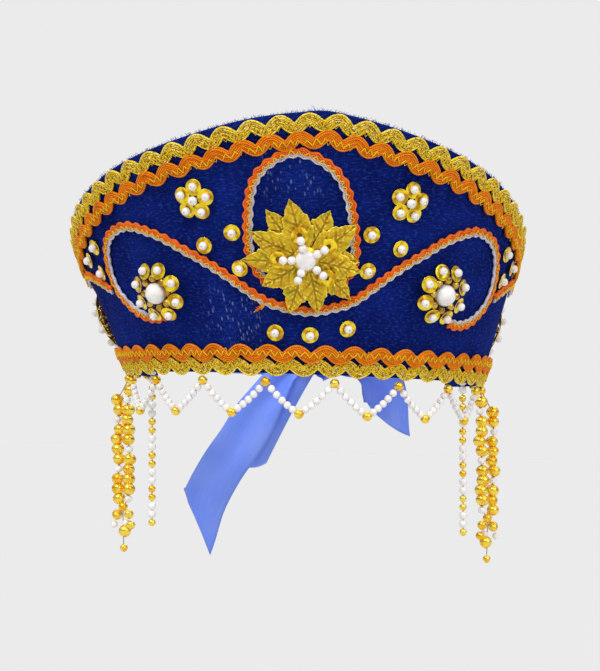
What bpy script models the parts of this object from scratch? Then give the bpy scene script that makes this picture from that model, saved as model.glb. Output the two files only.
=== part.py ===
import bpy
import bmesh
import math
import numpy as np
from mathutils import Vector

for old in list(bpy.data.objects):
    bpy.data.objects.remove(old, do_unlink=True)

# Crown panel: a flared half ring whose front faces -Y; lengths in metres, angles in radians
BASE_RADIUS = 0.090
FLARE = math.radians(20)
HALF_WRAP = math.radians(120)
FRONT_HEIGHT = 0.118
WALL = 0.0025
GAP = 0.0003
# Sideways lean per unit of height, and how much taller the +X side is
LEAN = 0.10
SKEW = 0.03
# Columns: share of the half wrap, share of the front height on the -X side and on the +X side
TOP_EDGE = (
    (0.000, 1.000, 1.000),
    (0.045, 0.990, 1.008),
    (0.100, 0.970, 0.988),
    (0.200, 0.921, 0.938),
    (0.350, 0.839, 0.850),
    (0.500, 0.738, 0.741),
    (0.600, 0.664, 0.664),
    (0.750, 0.560, 0.560),
    (1.000, 0.475, 0.475),
)

# Rickrack trims along both edges
RICK_PITCH = 0.0133
RICK_WIDTH = 0.0052
RICK_SWING = 0.0016
RICK_THICKNESS = 0.0016
BASE_RICK_SHARE = 0.92
EDGE_MARGIN = 0.0006
BASE_OVERHANG = 0.0010
TRIM_END = 0.0015
# Small angle over which a trim's line gives its slope
LOOK_AHEAD = 0.01

RICK_TALL = 2 * RICK_SWING + RICK_WIDTH
BASE_RICK_TALL = BASE_RICK_SHARE * RICK_TALL
TOP_TRIM_TALL = EDGE_MARGIN + 2 * RICK_TALL + GAP

# Braid of the arch and scrolls; columns: share of the half wrap, share of the front height
BRAID_WIDTH = 0.0042
BRAID_THICKNESS = 0.0018
BRAID_STEP = 0.0058
# Radius at which a place's share of the half wrap is measured along the wall
BRAID_RADIUS = 1.2 * BASE_RADIUS
ARCH_CROWN = 1 - (TOP_TRIM_TALL + GAP + BRAID_WIDTH / 2) * math.cos(FLARE) / FRONT_HEIGHT
# Columns: share of the half wrap on the -X side and on the +X side, share of the front height
ARCH = (
    (0.0863, 0.0752, 0.365),
    (0.1073, 0.0961, 0.430),
    (0.1111, 0.0999, 0.520),
    (0.0959, 0.0847, 0.690),
    (0.0643, 0.0533, 0.940 * ARCH_CROWN),
)
ARCH_TOP = (-0.0056, ARCH_CROWN)
SCROLL = (
    (0.000, 0.252),
    (0.070, 0.275),
    (0.108, 0.305),
    (0.155, 0.368),
    (0.205, 0.435),
    (0.255, 0.492),
    (0.302, 0.545),
    (0.362, 0.589),
    (0.402, 0.594),
    (0.446, 0.568),
    (0.475, 0.523),
    (0.492, 0.462),
    (0.500, 0.398),
    (0.492, 0.335),
    (0.464, 0.278),
    (0.427, 0.240),
    (0.388, 0.226),
    (0.354, 0.234),
)
SIDE_BRANCH = (
    (0.524, 0.350),
    (0.568, 0.385),
    (0.620, 0.414),
    (0.675, 0.428),
    (0.730, 0.398),
)

# Cup sequins and pearls
SEQUIN_RADIUS = 0.0038
SEQUIN_RISE = 0.0010
PEARL_RADIUS = 0.0020
BEAD_SIDES = 10
PETAL_SIDES = 8
HUB_SIDES = 12
# Columns: share of the half wrap, share of the front height
UPPER_SEQUINS = ((0.137, 0.555), (0.200, 0.507), (0.132, 0.417))
UPPER_SHIFT = -0.0045
LOWER_SEQUINS = ((-0.078, 0.167), (0.001, 0.162), (0.087, 0.190))
SIDE_SEQUINS = ((0.525, 0.531), (0.583, 0.484), (0.537, 0.426))

# Flowers; places are shares of the half wrap and of the front height
FIVE_PLACE = (0.205, 0.683)
FIVE_RING = 0.0060
FIVE_PEARL = 0.00225
FIVE_TURN = math.radians(85)
FIVE_OVERLAP = 0.0005
EIGHT_PLACES = ((-0.341, 0.336), (0.309, 0.347))
SIDE_PLACE = (0.885, 0.262)
EIGHT_RING = 0.0113
EIGHT_PEARL = 0.0050
EIGHT_TILT = math.radians(24)
EIGHT_HUB = EIGHT_RING - 0.35 * SEQUIN_RADIUS
EIGHT_RISE = BRAID_THICKNESS + 2 * GAP + SEQUIN_RADIUS * math.sin(EIGHT_TILT)

# Rosette of foil leaves
ROSETTE_HEIGHT = 0.460
LEAF_REACH = 0.0283
LEAF_VALLEY = 0.0090
LEAF_HALF_WIDTH = 0.0060
LEAF_THICKNESS = 0.0005
LEAF_RIDGE = 0.0008
LEAF_LIFT = 0.0015
ROSETTE_FOOT = 0.0050
CABOCHON_RADIUS = 0.0049
# Columns: direction in degrees, share of the reach
UPPER_LEAVES = ((33, 1.02), (100.5, 1.045), (154, 0.97), (216, 0.88), (284, 0.93), (349, 0.92))
LOWER_LEAVES = ((1, 0.87), (61, 0.92), (126, 1.00), (184, 1.05), (252, 1.00), (321, 1.00))
# Columns: share of the way from valley to tip, share of the half width
LEAF_OUTLINE = ((0.24, 1.00), (0.46, 0.78), (0.56, 0.84))
SPOKE_RING = 0.0080
SPOKE_SEQUIN = 0.0122
# Columns: direction in degrees, 1 where a sequin lies under the outer pearl
SPOKES = ((100, 1), (34, 1), (-42, 1), (-113, 0), (178, 1))

# Forehead net: pearl strings between gold beads
NET_SWAGS = 7
NET_STEP = math.radians(21)
NET_TURN = math.radians(-3.5)
NET_DROP = 0.0150
NET_BEAD = 0.0023
NET_STRING = 0.0018

# Temple chains
CHAIN_AZIMUTH = math.radians(84)
CHAIN_DROP = 0.090
CHAIN_BEAD = 0.0060
CHAIN_TURN = math.radians(36)
CHAIN_STANDOFF = 0.0032
INNER_AZIMUTH = math.radians(65)
INNER_DROP = 0.079
INNER_BEAD = 0.0040
INNER_SEWN = 0.003
HANG_LEAN = 0.033
# Columns: share of the drop, half width and half thickness as shares of a bead
CHAIN_FORM = (
    (0.00, 0.30, 0.30),
    (0.04, 0.42, 0.42),
    (0.10, 0.95, 0.50),
    (0.18, 0.84, 0.44),
    (0.26, 1.00, 0.50),
    (0.34, 0.84, 0.44),
    (0.42, 1.00, 0.50),
    (0.50, 0.84, 0.44),
    (0.58, 1.00, 0.50),
    (0.68, 0.90, 0.50),
    (0.73, 0.18, 0.18),
    (0.79, 0.85, 0.60),
    (0.88, 1.05, 0.70),
    (0.92, 0.30, 0.30),
    (0.96, 0.44, 0.44),
    (1.00, 0.20, 0.20),
)
# Columns: share of the drop, radius as a share of a bead
INNER_FORM = (
    (0.00, 0.40),
    (0.14, 0.50),
    (0.30, 0.40),
    (0.44, 0.50),
    (0.58, 0.40),
    (0.72, 0.50),
    (0.86, 0.40),
    (1.00, 0.30),
)

# Satin ribbon, tied at the back
RIBBON_WIDTH = 0.025
RIBBON_THICKNESS = 0.0010
RIBBON_RISE = 0.0050
RIBBON_OVERLAP = math.radians(6)
BACK_RADIUS = 0.089
KNOT_SIDE = 0.006
KNOT_WIDTH = 0.016
KNOT_DEPTH = 0.012
KNOT_TALL = 0.018
LOOP_LENGTH = 0.066
LOOP_OPENING = 0.0055
# How far a loop and a tail are gathered at the knot, as a share of the ribbon's width
LOOP_GATHER = 0.42
TAIL_GATHER = 0.40
TAIL_SPREAD = 0.09
# Fall of each loop below level, slope of its folded end, and its start from the knot's middle
LEFT_LOOP = (math.radians(67), math.radians(14), (-0.009, 0.006, -0.004))
RIGHT_LOOP = (math.radians(-4), math.radians(94), (0.005, 0.003, 0.003))
LEFT_TAIL = 0.100
LEFT_TAIL_CUT = 0.014
RIGHT_TAIL = 0.060
RIGHT_TAIL_CUT = 0.011
# Columns: shares of the tail's length to the side, to the back and upwards from the knot
LEFT_TAIL_PATH = (
    (-0.120, -0.058, -0.080),
    (-0.172, -0.058, -0.139),
    (-0.290, -0.058, -0.342),
    (-0.375, -0.058, -0.495),
    (-0.474, -0.050, -0.648),
    (-0.560, -0.040, -0.820),
    (-0.604, -0.040, -0.966),
)
RIGHT_TAIL_PATH = (
    (0.073, 0.107, -0.180),
    (0.267, 0.165, -0.133),
    (0.467, 0.200, -0.125),
    (0.633, 0.205, -0.183),
    (0.733, 0.205, -0.325),
    (0.787, 0.205, -0.528),
)


def material(name, colour, roughness, metallic=0.0):
    made = bpy.data.materials.new(name)
    made.use_nodes = True
    shader = made.node_tree.nodes["Principled BSDF"]
    shader.inputs["Base Color"].default_value = (*colour, 1.0)
    shader.inputs["Roughness"].default_value = roughness
    shader.inputs["Metallic"].default_value = metallic
    return made


LOOKS = {
    "cloth": ((0.006, 0.019, 0.216), 0.90, 0.0),
    "gold_trim": ((0.70, 0.52, 0.10), 0.45, 0.6),
    "orange_trim": ((0.87, 0.22, 0.01), 0.70, 0.0),
    "braid": ((0.85, 0.20, 0.02), 0.70, 0.0),
    "foil": ((0.80, 0.60, 0.06), 0.30, 1.0),
    "sequin": ((0.90, 0.66, 0.05), 0.20, 1.0),
    "pearl": ((0.85, 0.84, 0.82), 0.25, 0.0),
    "bead": ((0.90, 0.50, 0.03), 0.25, 1.0),
    "satin": ((0.12, 0.23, 0.80), 0.35, 0.0),
}


def add_object(name, verts, faces, look):
    mesh = bpy.data.meshes.new(name)
    mesh.from_pydata([tuple(v) for v in verts], [], faces)
    body = bmesh.new()
    body.from_mesh(mesh)
    bmesh.ops.recalc_face_normals(body, faces=body.faces)
    bmesh.ops.triangulate(body, faces=body.faces)
    body.to_mesh(mesh)
    body.free()
    mesh.materials.append(material(name + "_look", *LOOKS[look]))
    made = bpy.data.objects.new(name, mesh)
    bpy.context.scene.collection.objects.link(made)
    return made


def tube(rings):
    """A closed body through rings that all have the same count of points."""
    count = len(rings[0])
    verts = [point for ring in rings for point in ring]
    faces = [tuple(range(count)), tuple(range(len(verts) - count, len(verts)))]
    for row in range(len(rings) - 1):
        for i in range(count):
            j = (i + 1) % count
            low, high = row * count, (row + 1) * count
            faces.append((low + i, low + j, high + j, high + i))
    return verts, faces


def fuse(name, bodies, look):
    """Joins overlapping bodies into one object."""
    first = add_object(name, *bodies[0], look)
    helpers = []
    for index, body in enumerate(bodies[1:]):
        helper = add_object(f"{name}_helper_{index}", *body, look)
        join = first.modifiers.new(f"join_{index}", "BOOLEAN")
        join.operation = "UNION"
        join.solver = "EXACT"
        join.object = helper
        helpers.append(helper)
    bpy.context.view_layer.update()
    graph = bpy.context.evaluated_depsgraph_get()
    joined = bpy.data.meshes.new_from_object(first.evaluated_get(graph))
    first.modifiers.clear()
    first.data = joined
    joined.materials.clear()
    joined.materials.append(bpy.data.materials[name + "_look"])
    for helper in helpers:
        bpy.data.objects.remove(helper, do_unlink=True)
    return first


def spline(rows, count):
    """Points evenly spread along a smooth curve through the rows."""
    rows = np.array(rows, float)
    ends = np.vstack([2 * rows[0] - rows[1], rows, 2 * rows[-1] - rows[-2]])
    fine = []
    for k in range(1, len(ends) - 2):
        a, b, c, d = ends[k - 1], ends[k], ends[k + 1], ends[k + 2]
        for t in np.linspace(0, 1, 24, endpoint=False):
            fine.append(
                0.5 * (2 * b + (c - a) * t + (2 * a - 5 * b + 4 * c - d) * t**2 + (3 * b - a - 3 * c + d) * t**3)
            )
    fine.append(ends[-2])
    fine = np.array(fine)
    run = np.concatenate([[0], np.cumsum(np.linalg.norm(np.diff(fine, axis=0), axis=1))])
    places = np.linspace(0, run[-1], count)
    return np.stack([np.interp(places, run, fine[:, i]) for i in range(fine.shape[1])], axis=1)


def spline_length(rows):
    fine = spline(rows, 400)
    return float(np.linalg.norm(np.diff(fine, axis=0), axis=1).sum())


PROFILE = spline(TOP_EDGE, 200)


def top_height(azimuth):
    side = 2 if azimuth > 0 else 1
    return FRONT_HEIGHT * float(np.interp(abs(azimuth) / HALF_WRAP, PROFILE[:, 0], PROFILE[:, side]))


def wall_frame(azimuth, height):
    """Point on the outer face of the crown, with its right, up and outward directions."""
    z = height * (1 + SKEW * math.sin(azimuth))
    radius = BASE_RADIUS + z * math.tan(FLARE)
    point = Vector((radius * math.sin(azimuth) - LEAN * z, -radius * math.cos(azimuth), z))
    right = Vector((math.cos(azimuth), math.sin(azimuth), 0))
    rise = Vector((math.tan(FLARE) * math.sin(azimuth) - LEAN, -math.tan(FLARE) * math.cos(azimuth), 1))
    out = right.cross(rise).normalized()
    return point, right, out.cross(right), out


def wall_point(azimuth, height, out=0.0):
    point, right, up, outward = wall_frame(azimuth, height)
    return point + outward * out


def near_point(place, across, rise, out):
    """Point at a distance across and up the wall from a place, wrapped round the crown."""
    azimuth, height = place
    radius = BASE_RADIUS + height * math.tan(FLARE)
    return wall_point(azimuth + across / radius, height + rise * math.cos(FLARE), out)


def at(place):
    return place[0] * HALF_WRAP, place[1] * FRONT_HEIGHT


# Crown panel
PANEL_STEPS = 40
rings = []
for azimuth in np.linspace(-HALF_WRAP, HALF_WRAP, PANEL_STEPS + 1):
    top = top_height(azimuth)
    rings.append([
        wall_point(azimuth, 0),
        wall_point(azimuth, top),
        wall_point(azimuth, top, -WALL),
        wall_point(azimuth, 0, -WALL),
    ])
add_object("crown_panel", *tube(rings), "cloth")


def sweep(points, outs, profile):
    """Rings of a profile (across, out) carried along points on the wall."""
    rings = []
    for i, point in enumerate(points):
        along = points[min(i + 1, len(points) - 1)] - points[max(i - 1, 0)]
        side = outs[i].cross(along).normalized()
        rings.append([point + side * across + outs[i] * out for across, out in profile])
    return rings


def line_round(height_of, share):
    """Azimuths along a trim's line round the crown, and the distance run at each."""
    half = HALF_WRAP - TRIM_END / BASE_RADIUS - share * RICK_WIDTH / 2 / BASE_RADIUS
    azimuths = np.linspace(-half, half, 600)
    line = np.array([wall_point(a, height_of(a)) for a in azimuths])
    return azimuths, np.concatenate([[0], np.cumsum(np.linalg.norm(np.diff(line, axis=0), axis=1))])


def rickrack(name, height_of, waves, share, start, look):
    """Wavy braid along a line round the crown; start is 1 for a crest at both ends, -1 for a trough."""
    azimuths, run = line_round(height_of, share)
    points, outs = [], []
    for k in range(2 * waves + 1):
        azimuth = float(np.interp(k / (2 * waves) * run[-1], run, azimuths))
        point, right, up, out = wall_frame(azimuth, height_of(azimuth))
        ahead = wall_point(azimuth + LOOK_AHEAD, height_of(azimuth + LOOK_AHEAD))
        side = out.cross(ahead - point).normalized()
        swing = start * share * RICK_SWING * (1 if k % 2 == 0 else -1)
        points.append(point + side * swing)
        outs.append(out)
    half_width = share * RICK_WIDTH / 2
    profile = ((-half_width, GAP), (half_width, GAP), (0, GAP + share * RICK_THICKNESS))
    add_object(name, *tube(sweep(points, outs, profile)), look)


def below_top(distance):
    """Height of a line that keeps a distance from the top edge."""
    def height(azimuth):
        run = 2 * LOOK_AHEAD * (BASE_RADIUS + top_height(azimuth) * math.tan(FLARE))
        slope = (top_height(azimuth + LOOK_AHEAD) - top_height(azimuth - LOOK_AHEAD)) / run
        return top_height(azimuth) - distance * math.cos(FLARE) * math.hypot(1, slope)
    return height


def above_base(distance):
    return lambda azimuth: distance * math.cos(FLARE) - BASE_OVERHANG


def rickrack_pair(upper, lower, share):
    """Two rickracks with the same waves, one's crests over the other's troughs; columns: name, line, look."""
    waves = round(line_round(upper[1], share)[1][-1] / RICK_PITCH)
    for start, (name, height_of, look) in ((1, upper), (-1, lower)):
        rickrack(name, height_of, waves, share, start, look)


rickrack_pair(
    ("gold_rickrack_top", below_top(EDGE_MARGIN + RICK_TALL / 2), "gold_trim"),
    ("orange_rickrack_top", below_top(EDGE_MARGIN + RICK_TALL * 1.5 + GAP), "orange_trim"),
    1.0,
)
rickrack_pair(
    ("orange_rickrack_base", above_base(BASE_RICK_TALL * 1.5 + GAP), "orange_trim"),
    ("gold_rickrack_base", above_base(BASE_RICK_TALL / 2), "gold_trim"),
    BASE_RICK_SHARE,
)


def braid(name, rows):
    """Flat braid laid on the wall along rows of places."""
    metric = [(share * HALF_WRAP * BRAID_RADIUS, high * FRONT_HEIGHT) for share, high in rows]
    count = round(spline_length(metric) / BRAID_STEP) + 1
    points, outs = [], []
    for x, height in spline(metric, count):
        point, right, up, out = wall_frame(x / BRAID_RADIUS, height)
        points.append(point)
        outs.append(out)
    half, top = BRAID_WIDTH / 2, GAP + BRAID_THICKNESS
    profile = ((-half, GAP), (half, GAP), (0.6 * half, top), (-0.6 * half, top))
    add_object(name, *tube(sweep(points, outs, profile)), "braid")


def mirrored(rows):
    return [(-share, high) for share, high in rows]


arch_left = [(-left, high) for left, right, high in ARCH]
arch_right = [(right, high) for left, right, high in ARCH[::-1]]
braid("arch_braid", arch_left + [ARCH_TOP] + arch_right)
braid("scroll_braid", mirrored(SCROLL[::-1]) + list(SCROLL[1:]))
braid("side_braid_left", mirrored(SIDE_BRANCH))
braid("side_braid_right", SIDE_BRANCH)


def lathe(frame, profile, sides, turn=0.0):
    """Rings round a frame's outward axis; profile columns are radius and height."""
    centre, right, up, out = frame
    rings = []
    for radius, height in profile:
        ring = []
        for k in range(sides):
            angle = turn + 2 * math.pi * k / sides
            ring.append(centre + (right * math.cos(angle) + up * math.sin(angle)) * radius + out * height)
        rings.append(ring)
    return tube(rings)


def lifted(frame, out):
    return frame[0] + frame[3] * out, frame[1], frame[2], frame[3]


FACET_TURN = 0.2
# Columns: radius, height
SEQUIN_CUP = (
    (0.55 * SEQUIN_RADIUS, 0.0),
    (SEQUIN_RADIUS, SEQUIN_RISE),
    (0.45 * SEQUIN_RADIUS, 0.5 * SEQUIN_RISE),
)
PEARLED_CUP = (
    (0.55 * SEQUIN_RADIUS, 0.0),
    (SEQUIN_RADIUS, SEQUIN_RISE),
    (PEARL_RADIUS, SEQUIN_RISE * 0.8 + PEARL_RADIUS * 0.3),
    (0.62 * PEARL_RADIUS, SEQUIN_RISE * 0.5 + PEARL_RADIUS * 1.6),
)

for side, sign in (("left", -1), ("right", 1)):
    for field, rows, shift in (("upper", UPPER_SEQUINS, UPPER_SHIFT), ("side", SIDE_SEQUINS, 0.0)):
        for index, (share, high) in enumerate(rows, 1):
            frame = lifted(wall_frame(*at((sign * share + shift, high))), GAP)
            add_object(f"sequin_{field}_{side}_{index}", *lathe(frame, PEARLED_CUP, BEAD_SIDES), "sequin")
for index, place in enumerate(LOWER_SEQUINS, 1):
    frame = lifted(wall_frame(*at(place)), GAP)
    add_object(f"sequin_lower_{index}", *lathe(frame, PEARLED_CUP, BEAD_SIDES), "sequin")


def petal_frame(frame, ring, angle, rise, tilt):
    """Frame of a petal round a flower's centre, leaning outwards by the tilt."""
    centre, right, up, out = frame
    away = right * math.cos(angle) + up * math.sin(angle)
    around = up * math.cos(angle) - right * math.sin(angle)
    leaning = out * math.cos(tilt) + away * math.sin(tilt)
    return centre + away * ring + out * rise, around, leaning.cross(around), leaning


def five_petal(name, share):
    frame = lifted(wall_frame(*at((share, FIVE_PLACE[1]))), GAP)
    collar = FIVE_RING - SEQUIN_RADIUS + FIVE_OVERLAP
    middle = (
        (collar, 0.0),
        (collar, 1.3 * SEQUIN_RISE),
        (FIVE_PEARL, 1.2 * SEQUIN_RISE + 0.6 * FIVE_PEARL),
        (0.55 * FIVE_PEARL, 1.2 * SEQUIN_RISE + 1.4 * FIVE_PEARL),
    )
    bodies = [lathe(frame, middle, BEAD_SIDES)]
    for k in range(5):
        place = petal_frame(frame, FIVE_RING, FIVE_TURN + 2 * math.pi * k / 5, 0.0, 0.0)
        bodies.append(lathe(place, PEARLED_CUP, BEAD_SIDES, FACET_TURN))
    fuse(name, bodies, "sequin")


def eight_petal(name, place):
    frame = wall_frame(*at(place))
    middle = (
        (0.6 * EIGHT_HUB, GAP),
        (EIGHT_HUB, EIGHT_RISE - SEQUIN_RISE),
        (EIGHT_HUB, EIGHT_RISE + 1.6 * SEQUIN_RISE),
        (EIGHT_PEARL, EIGHT_RISE + 2.0 * SEQUIN_RISE),
        (0.92 * EIGHT_PEARL, EIGHT_RISE + 0.88 * EIGHT_PEARL),
        (0.50 * EIGHT_PEARL, EIGHT_RISE + 1.25 * EIGHT_PEARL),
    )
    bodies = [lathe(frame, middle, HUB_SIDES)]
    for k in range(8):
        petal = petal_frame(frame, EIGHT_RING, math.pi * (k + 0.5) / 4, EIGHT_RISE, EIGHT_TILT)
        bodies.append(lathe(petal, SEQUIN_CUP, PETAL_SIDES, FACET_TURN))
    fuse(name, bodies, "sequin")


for side, sign, place in (("left", -1, EIGHT_PLACES[0]), ("right", 1, EIGHT_PLACES[1])):
    five_petal(f"five_petal_{side}", sign * FIVE_PLACE[0])
    eight_petal(f"eight_petal_{side}", place)
    eight_petal(f"side_flower_{side}", (sign * SIDE_PLACE[0], SIDE_PLACE[1]))

# Rosette: each layer is one sheet of six leaves; levels are heights of its edges above the wall
ROSETTE = at((0.0, ROSETTE_HEIGHT))
LOWER_LEVEL = GAP + BRAID_THICKNESS + GAP + LEAF_THICKNESS
UPPER_LEVEL = LOWER_LEVEL + LEAF_RIDGE + GAP + LEAF_THICKNESS


def leaf_layer(name, leaves, level, foot):
    """Six ridged leaves round a hub; the foot is a short post that reaches down to the wall."""
    verts, faces = [], []

    def add(radius, angle, side, ridge):
        """Adds a top point and a bottom point and returns the pair's number."""
        across = radius * math.cos(angle) - side * math.sin(angle)
        rise = radius * math.sin(angle) + side * math.cos(angle)
        high = level + ridge + LEAF_LIFT * (radius / LEAF_REACH) ** 2
        for out in (high, high - LEAF_THICKNESS):
            verts.append(near_point(ROSETTE, across, rise, out))
        return len(verts) // 2 - 1

    def quad(a, b, c, d):
        faces.append((2 * a, 2 * b, 2 * c, 2 * d))
        faces.append((2 * d + 1, 2 * c + 1, 2 * b + 1, 2 * a + 1))

    def triangle(a, b, c):
        faces.append((2 * a, 2 * b, 2 * c))
        faces.append((2 * c + 1, 2 * b + 1, 2 * a + 1))

    def rim(a, b):
        faces.append((2 * a, 2 * a + 1, 2 * b + 1, 2 * b))

    count = len(leaves)
    angles = [math.radians(direction) for direction, reach in leaves]
    valleys = []
    for k in range(count):
        before = angles[k - 1] if k else angles[-1] - 2 * math.pi
        valleys.append(add(LEAF_VALLEY, (before + angles[k]) / 2, 0, 0))
    ribs = [add(LEAF_VALLEY, angle, 0, LEAF_RIDGE) for angle in angles]
    hub = []
    for k, (angle, (direction, reach)) in enumerate(zip(angles, leaves)):
        hub += [valleys[k], ribs[k]]
        left, middle, right = valleys[(k + 1) % count], ribs[k], valleys[k]
        length = LEAF_REACH * reach - LEAF_VALLEY
        for along, wide in LEAF_OUTLINE:
            radius = LEAF_VALLEY + length * along
            row = [add(radius, angle, side * wide * LEAF_HALF_WIDTH, ridge)
                   for side, ridge in ((1, 0), (0, LEAF_RIDGE), (-1, 0))]
            quad(left, row[0], row[1], middle)
            quad(middle, row[1], row[2], right)
            rim(row[0], left)
            rim(right, row[2])
            left, middle, right = row
        tip = add(LEAF_REACH * reach, angle, 0, 0)
        triangle(left, tip, middle)
        triangle(middle, tip, right)
        rim(tip, left)
        rim(right, tip)
    faces.append(tuple(2 * k for k in hub))
    if foot:
        start = len(verts)
        for out in (level - LEAF_THICKNESS, GAP):
            for k in range(2 * count):
                angle = hub_angle(angles, k)
                verts.append(near_point(ROSETTE, foot * math.cos(angle), foot * math.sin(angle), out))
        for k in range(2 * count):
            after = (k + 1) % (2 * count)
            a, b = 2 * hub[k] + 1, 2 * hub[after] + 1
            faces.append((a, b, start + after, start + k))
            faces.append((start + k, start + after, start + 2 * count + after, start + 2 * count + k))
        faces.append(tuple(start + 2 * count + k for k in range(2 * count)))
    else:
        faces.append(tuple(2 * k + 1 for k in hub))
    add_object(name, verts, faces, "foil")


def hub_angle(angles, k):
    """Direction of the k-th corner of a leaf layer's hub: valleys and ribs in turn."""
    if k % 2:
        return angles[k // 2]
    before = angles[k // 2 - 1] if k else angles[-1] - 2 * math.pi
    return (before + angles[k // 2]) / 2


leaf_layer("leaf_layer_lower", LOWER_LEAVES, LOWER_LEVEL, ROSETTE_FOOT)
leaf_layer("leaf_layer_upper", UPPER_LEAVES, UPPER_LEVEL, 0)

SPOKE_LEVEL = UPPER_LEVEL + LEAF_RIDGE + LEAF_LIFT * ((SPOKE_SEQUIN + SEQUIN_RADIUS) / LEAF_REACH) ** 2 + GAP
cabochon = (
    (CABOCHON_RADIUS, 0.0),
    (CABOCHON_RADIUS, 0.18 * CABOCHON_RADIUS),
    (0.72 * CABOCHON_RADIUS, 0.62 * CABOCHON_RADIUS),
    (0.30 * CABOCHON_RADIUS, 0.80 * CABOCHON_RADIUS),
)
frame = lifted(wall_frame(*ROSETTE), UPPER_LEVEL + LEAF_RIDGE + GAP)
add_object("rosette_cabochon", *lathe(frame, cabochon, HUB_SIDES), "pearl")

for index, (direction, seated) in enumerate(SPOKES, 1):
    angle = math.radians(direction)
    middle = near_point(ROSETTE, SPOKE_RING * math.cos(angle), SPOKE_RING * math.sin(angle), 0)
    root, right, up, out = wall_frame(*ROSETTE)
    along = (right * math.cos(angle) + up * math.sin(angle)).normalized()
    side = out.cross(along)
    start = middle + out * (SPOKE_LEVEL + PEARL_RADIUS)
    pair = [(share * PEARL_RADIUS, run * PEARL_RADIUS)
            for share, run in ((0.45, -1.65), (1.0, -0.75), (0.62, 0.0), (1.0, 0.75), (0.45, 1.65))]
    bodies = [lathe((start, side, out, along), pair, BEAD_SIDES)]
    if seated:
        root = near_point(ROSETTE, SPOKE_SEQUIN * math.cos(angle), SPOKE_SEQUIN * math.sin(angle), 0)
        place = (root + out * SPOKE_LEVEL, right, up, out)
        bodies.append(lathe(place, SEQUIN_CUP, BEAD_SIDES, angle))
    fuse(f"rosette_spoke_{index}", bodies, "pearl")


def string_tube(name, points, radii, look):
    """Round tube along a string of beads, ten-sided, with its own radius at each point."""
    line = bpy.data.curves.new(name, "CURVE")
    line.dimensions = "3D"
    line.bevel_depth = radii[0]
    line.bevel_resolution = 3
    line.use_fill_caps = True
    spline_line = line.splines.new("POLY")
    spline_line.points.add(len(points) - 1)
    for node, point, radius in zip(spline_line.points, points, radii):
        node.co = (*point, 1.0)
        node.radius = radius / radii[0]
    line.materials.append(material(name + "_look", *LOOKS[look]))
    bpy.context.scene.collection.objects.link(bpy.data.objects.new(name, line))


# Forehead net: one zigzag string, wider at each gold bead
NET_RADIUS = BASE_RADIUS - WALL + GAP + NET_BEAD
NET_TOP = -(BASE_OVERHANG + GAP + NET_BEAD)
corners = []
for k in range(2 * NET_SWAGS + 1):
    azimuth = NET_TURN + (k - NET_SWAGS) * NET_STEP / 2
    z = NET_TOP - (NET_DROP if k % 2 else 0)
    corners.append(Vector((NET_RADIUS * math.sin(azimuth), -NET_RADIUS * math.cos(azimuth), z)))
points, radii = [corners[0]], [NET_BEAD]
for before, corner in zip(corners, corners[1:]):
    reach = (corner - before).normalized() * NET_BEAD * 1.1
    points += [before + reach, corner - reach, corner]
    radii += [NET_STRING, NET_STRING, NET_BEAD]
string_tube("forehead_net", points, radii, "pearl")


def chain(name, start, wide):
    """Thick hanging strand: six-sided rings whose sizes follow the rows of its form."""
    deep = Vector((0, 0, 1)).cross(wide)
    away = Vector((start.x, start.y, 0)).normalized()
    rings = []
    for share, half_wide, half_deep in CHAIN_FORM:
        shift = CHAIN_STANDOFF * min(share / 0.10, 1.0)
        centre = start + away * shift + Vector((HANG_LEAN, 0, -1)) * CHAIN_DROP * share
        w, d = wide * half_wide * CHAIN_BEAD, deep * half_deep * CHAIN_BEAD
        rings.append([centre - w, centre - w * 0.5 - d, centre + w * 0.5 - d,
                      centre + w, centre + w * 0.5 + d, centre - w * 0.5 + d])
    add_object(name, *tube(rings), "bead")


for side, sign in (("left", -1), ("right", 1)):
    start = Vector((sign * NET_RADIUS * math.sin(CHAIN_AZIMUTH), -NET_RADIUS * math.cos(CHAIN_AZIMUTH), NET_TOP + NET_BEAD))
    wide = Vector((math.cos(CHAIN_TURN), sign * math.sin(CHAIN_TURN), 0))
    chain(f"temple_chain_{side}", start, wide)
    radius = BASE_RADIUS - WALL / math.cos(FLARE) - GAP - 0.42 * INNER_BEAD
    start = Vector((sign * radius * math.sin(INNER_AZIMUTH), -radius * math.cos(INNER_AZIMUTH), INNER_SEWN))
    points = [start + Vector((HANG_LEAN, 0, -1)) * INNER_DROP * share for share, size in INNER_FORM]
    string_tube(f"inner_chain_{side}", points, [INNER_BEAD * size for share, size in INNER_FORM], "bead")

# Ribbon band round the back, sewn inside the crown's ends
RIBBON_MIDDLE = RIBBON_RISE + RIBBON_WIDTH / 2
knot_turn = math.asin(KNOT_SIDE / BACK_RADIUS)
knot_half = (KNOT_WIDTH / 2 + GAP) / BACK_RADIUS


def strip(name, centres, sides, faces_out, half_widths, cut=0.0):
    """Ribbon strip through centres; the cut moves the last ring's corners along the strip to slant its end."""
    rings = []
    for i, (centre, side, out, half) in enumerate(zip(centres, sides, faces_out, half_widths)):
        thick = out * RIBBON_THICKNESS / 2
        slant = (centres[-1] - centres[-2]).normalized() * cut if i == len(centres) - 1 else Vector()
        rings.append([
            centre - side * half - thick - slant,
            centre + side * half - thick + slant,
            centre + side * half + thick + slant,
            centre - side * half + thick - slant,
        ])
    add_object(name, *tube(rings), "satin")


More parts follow.
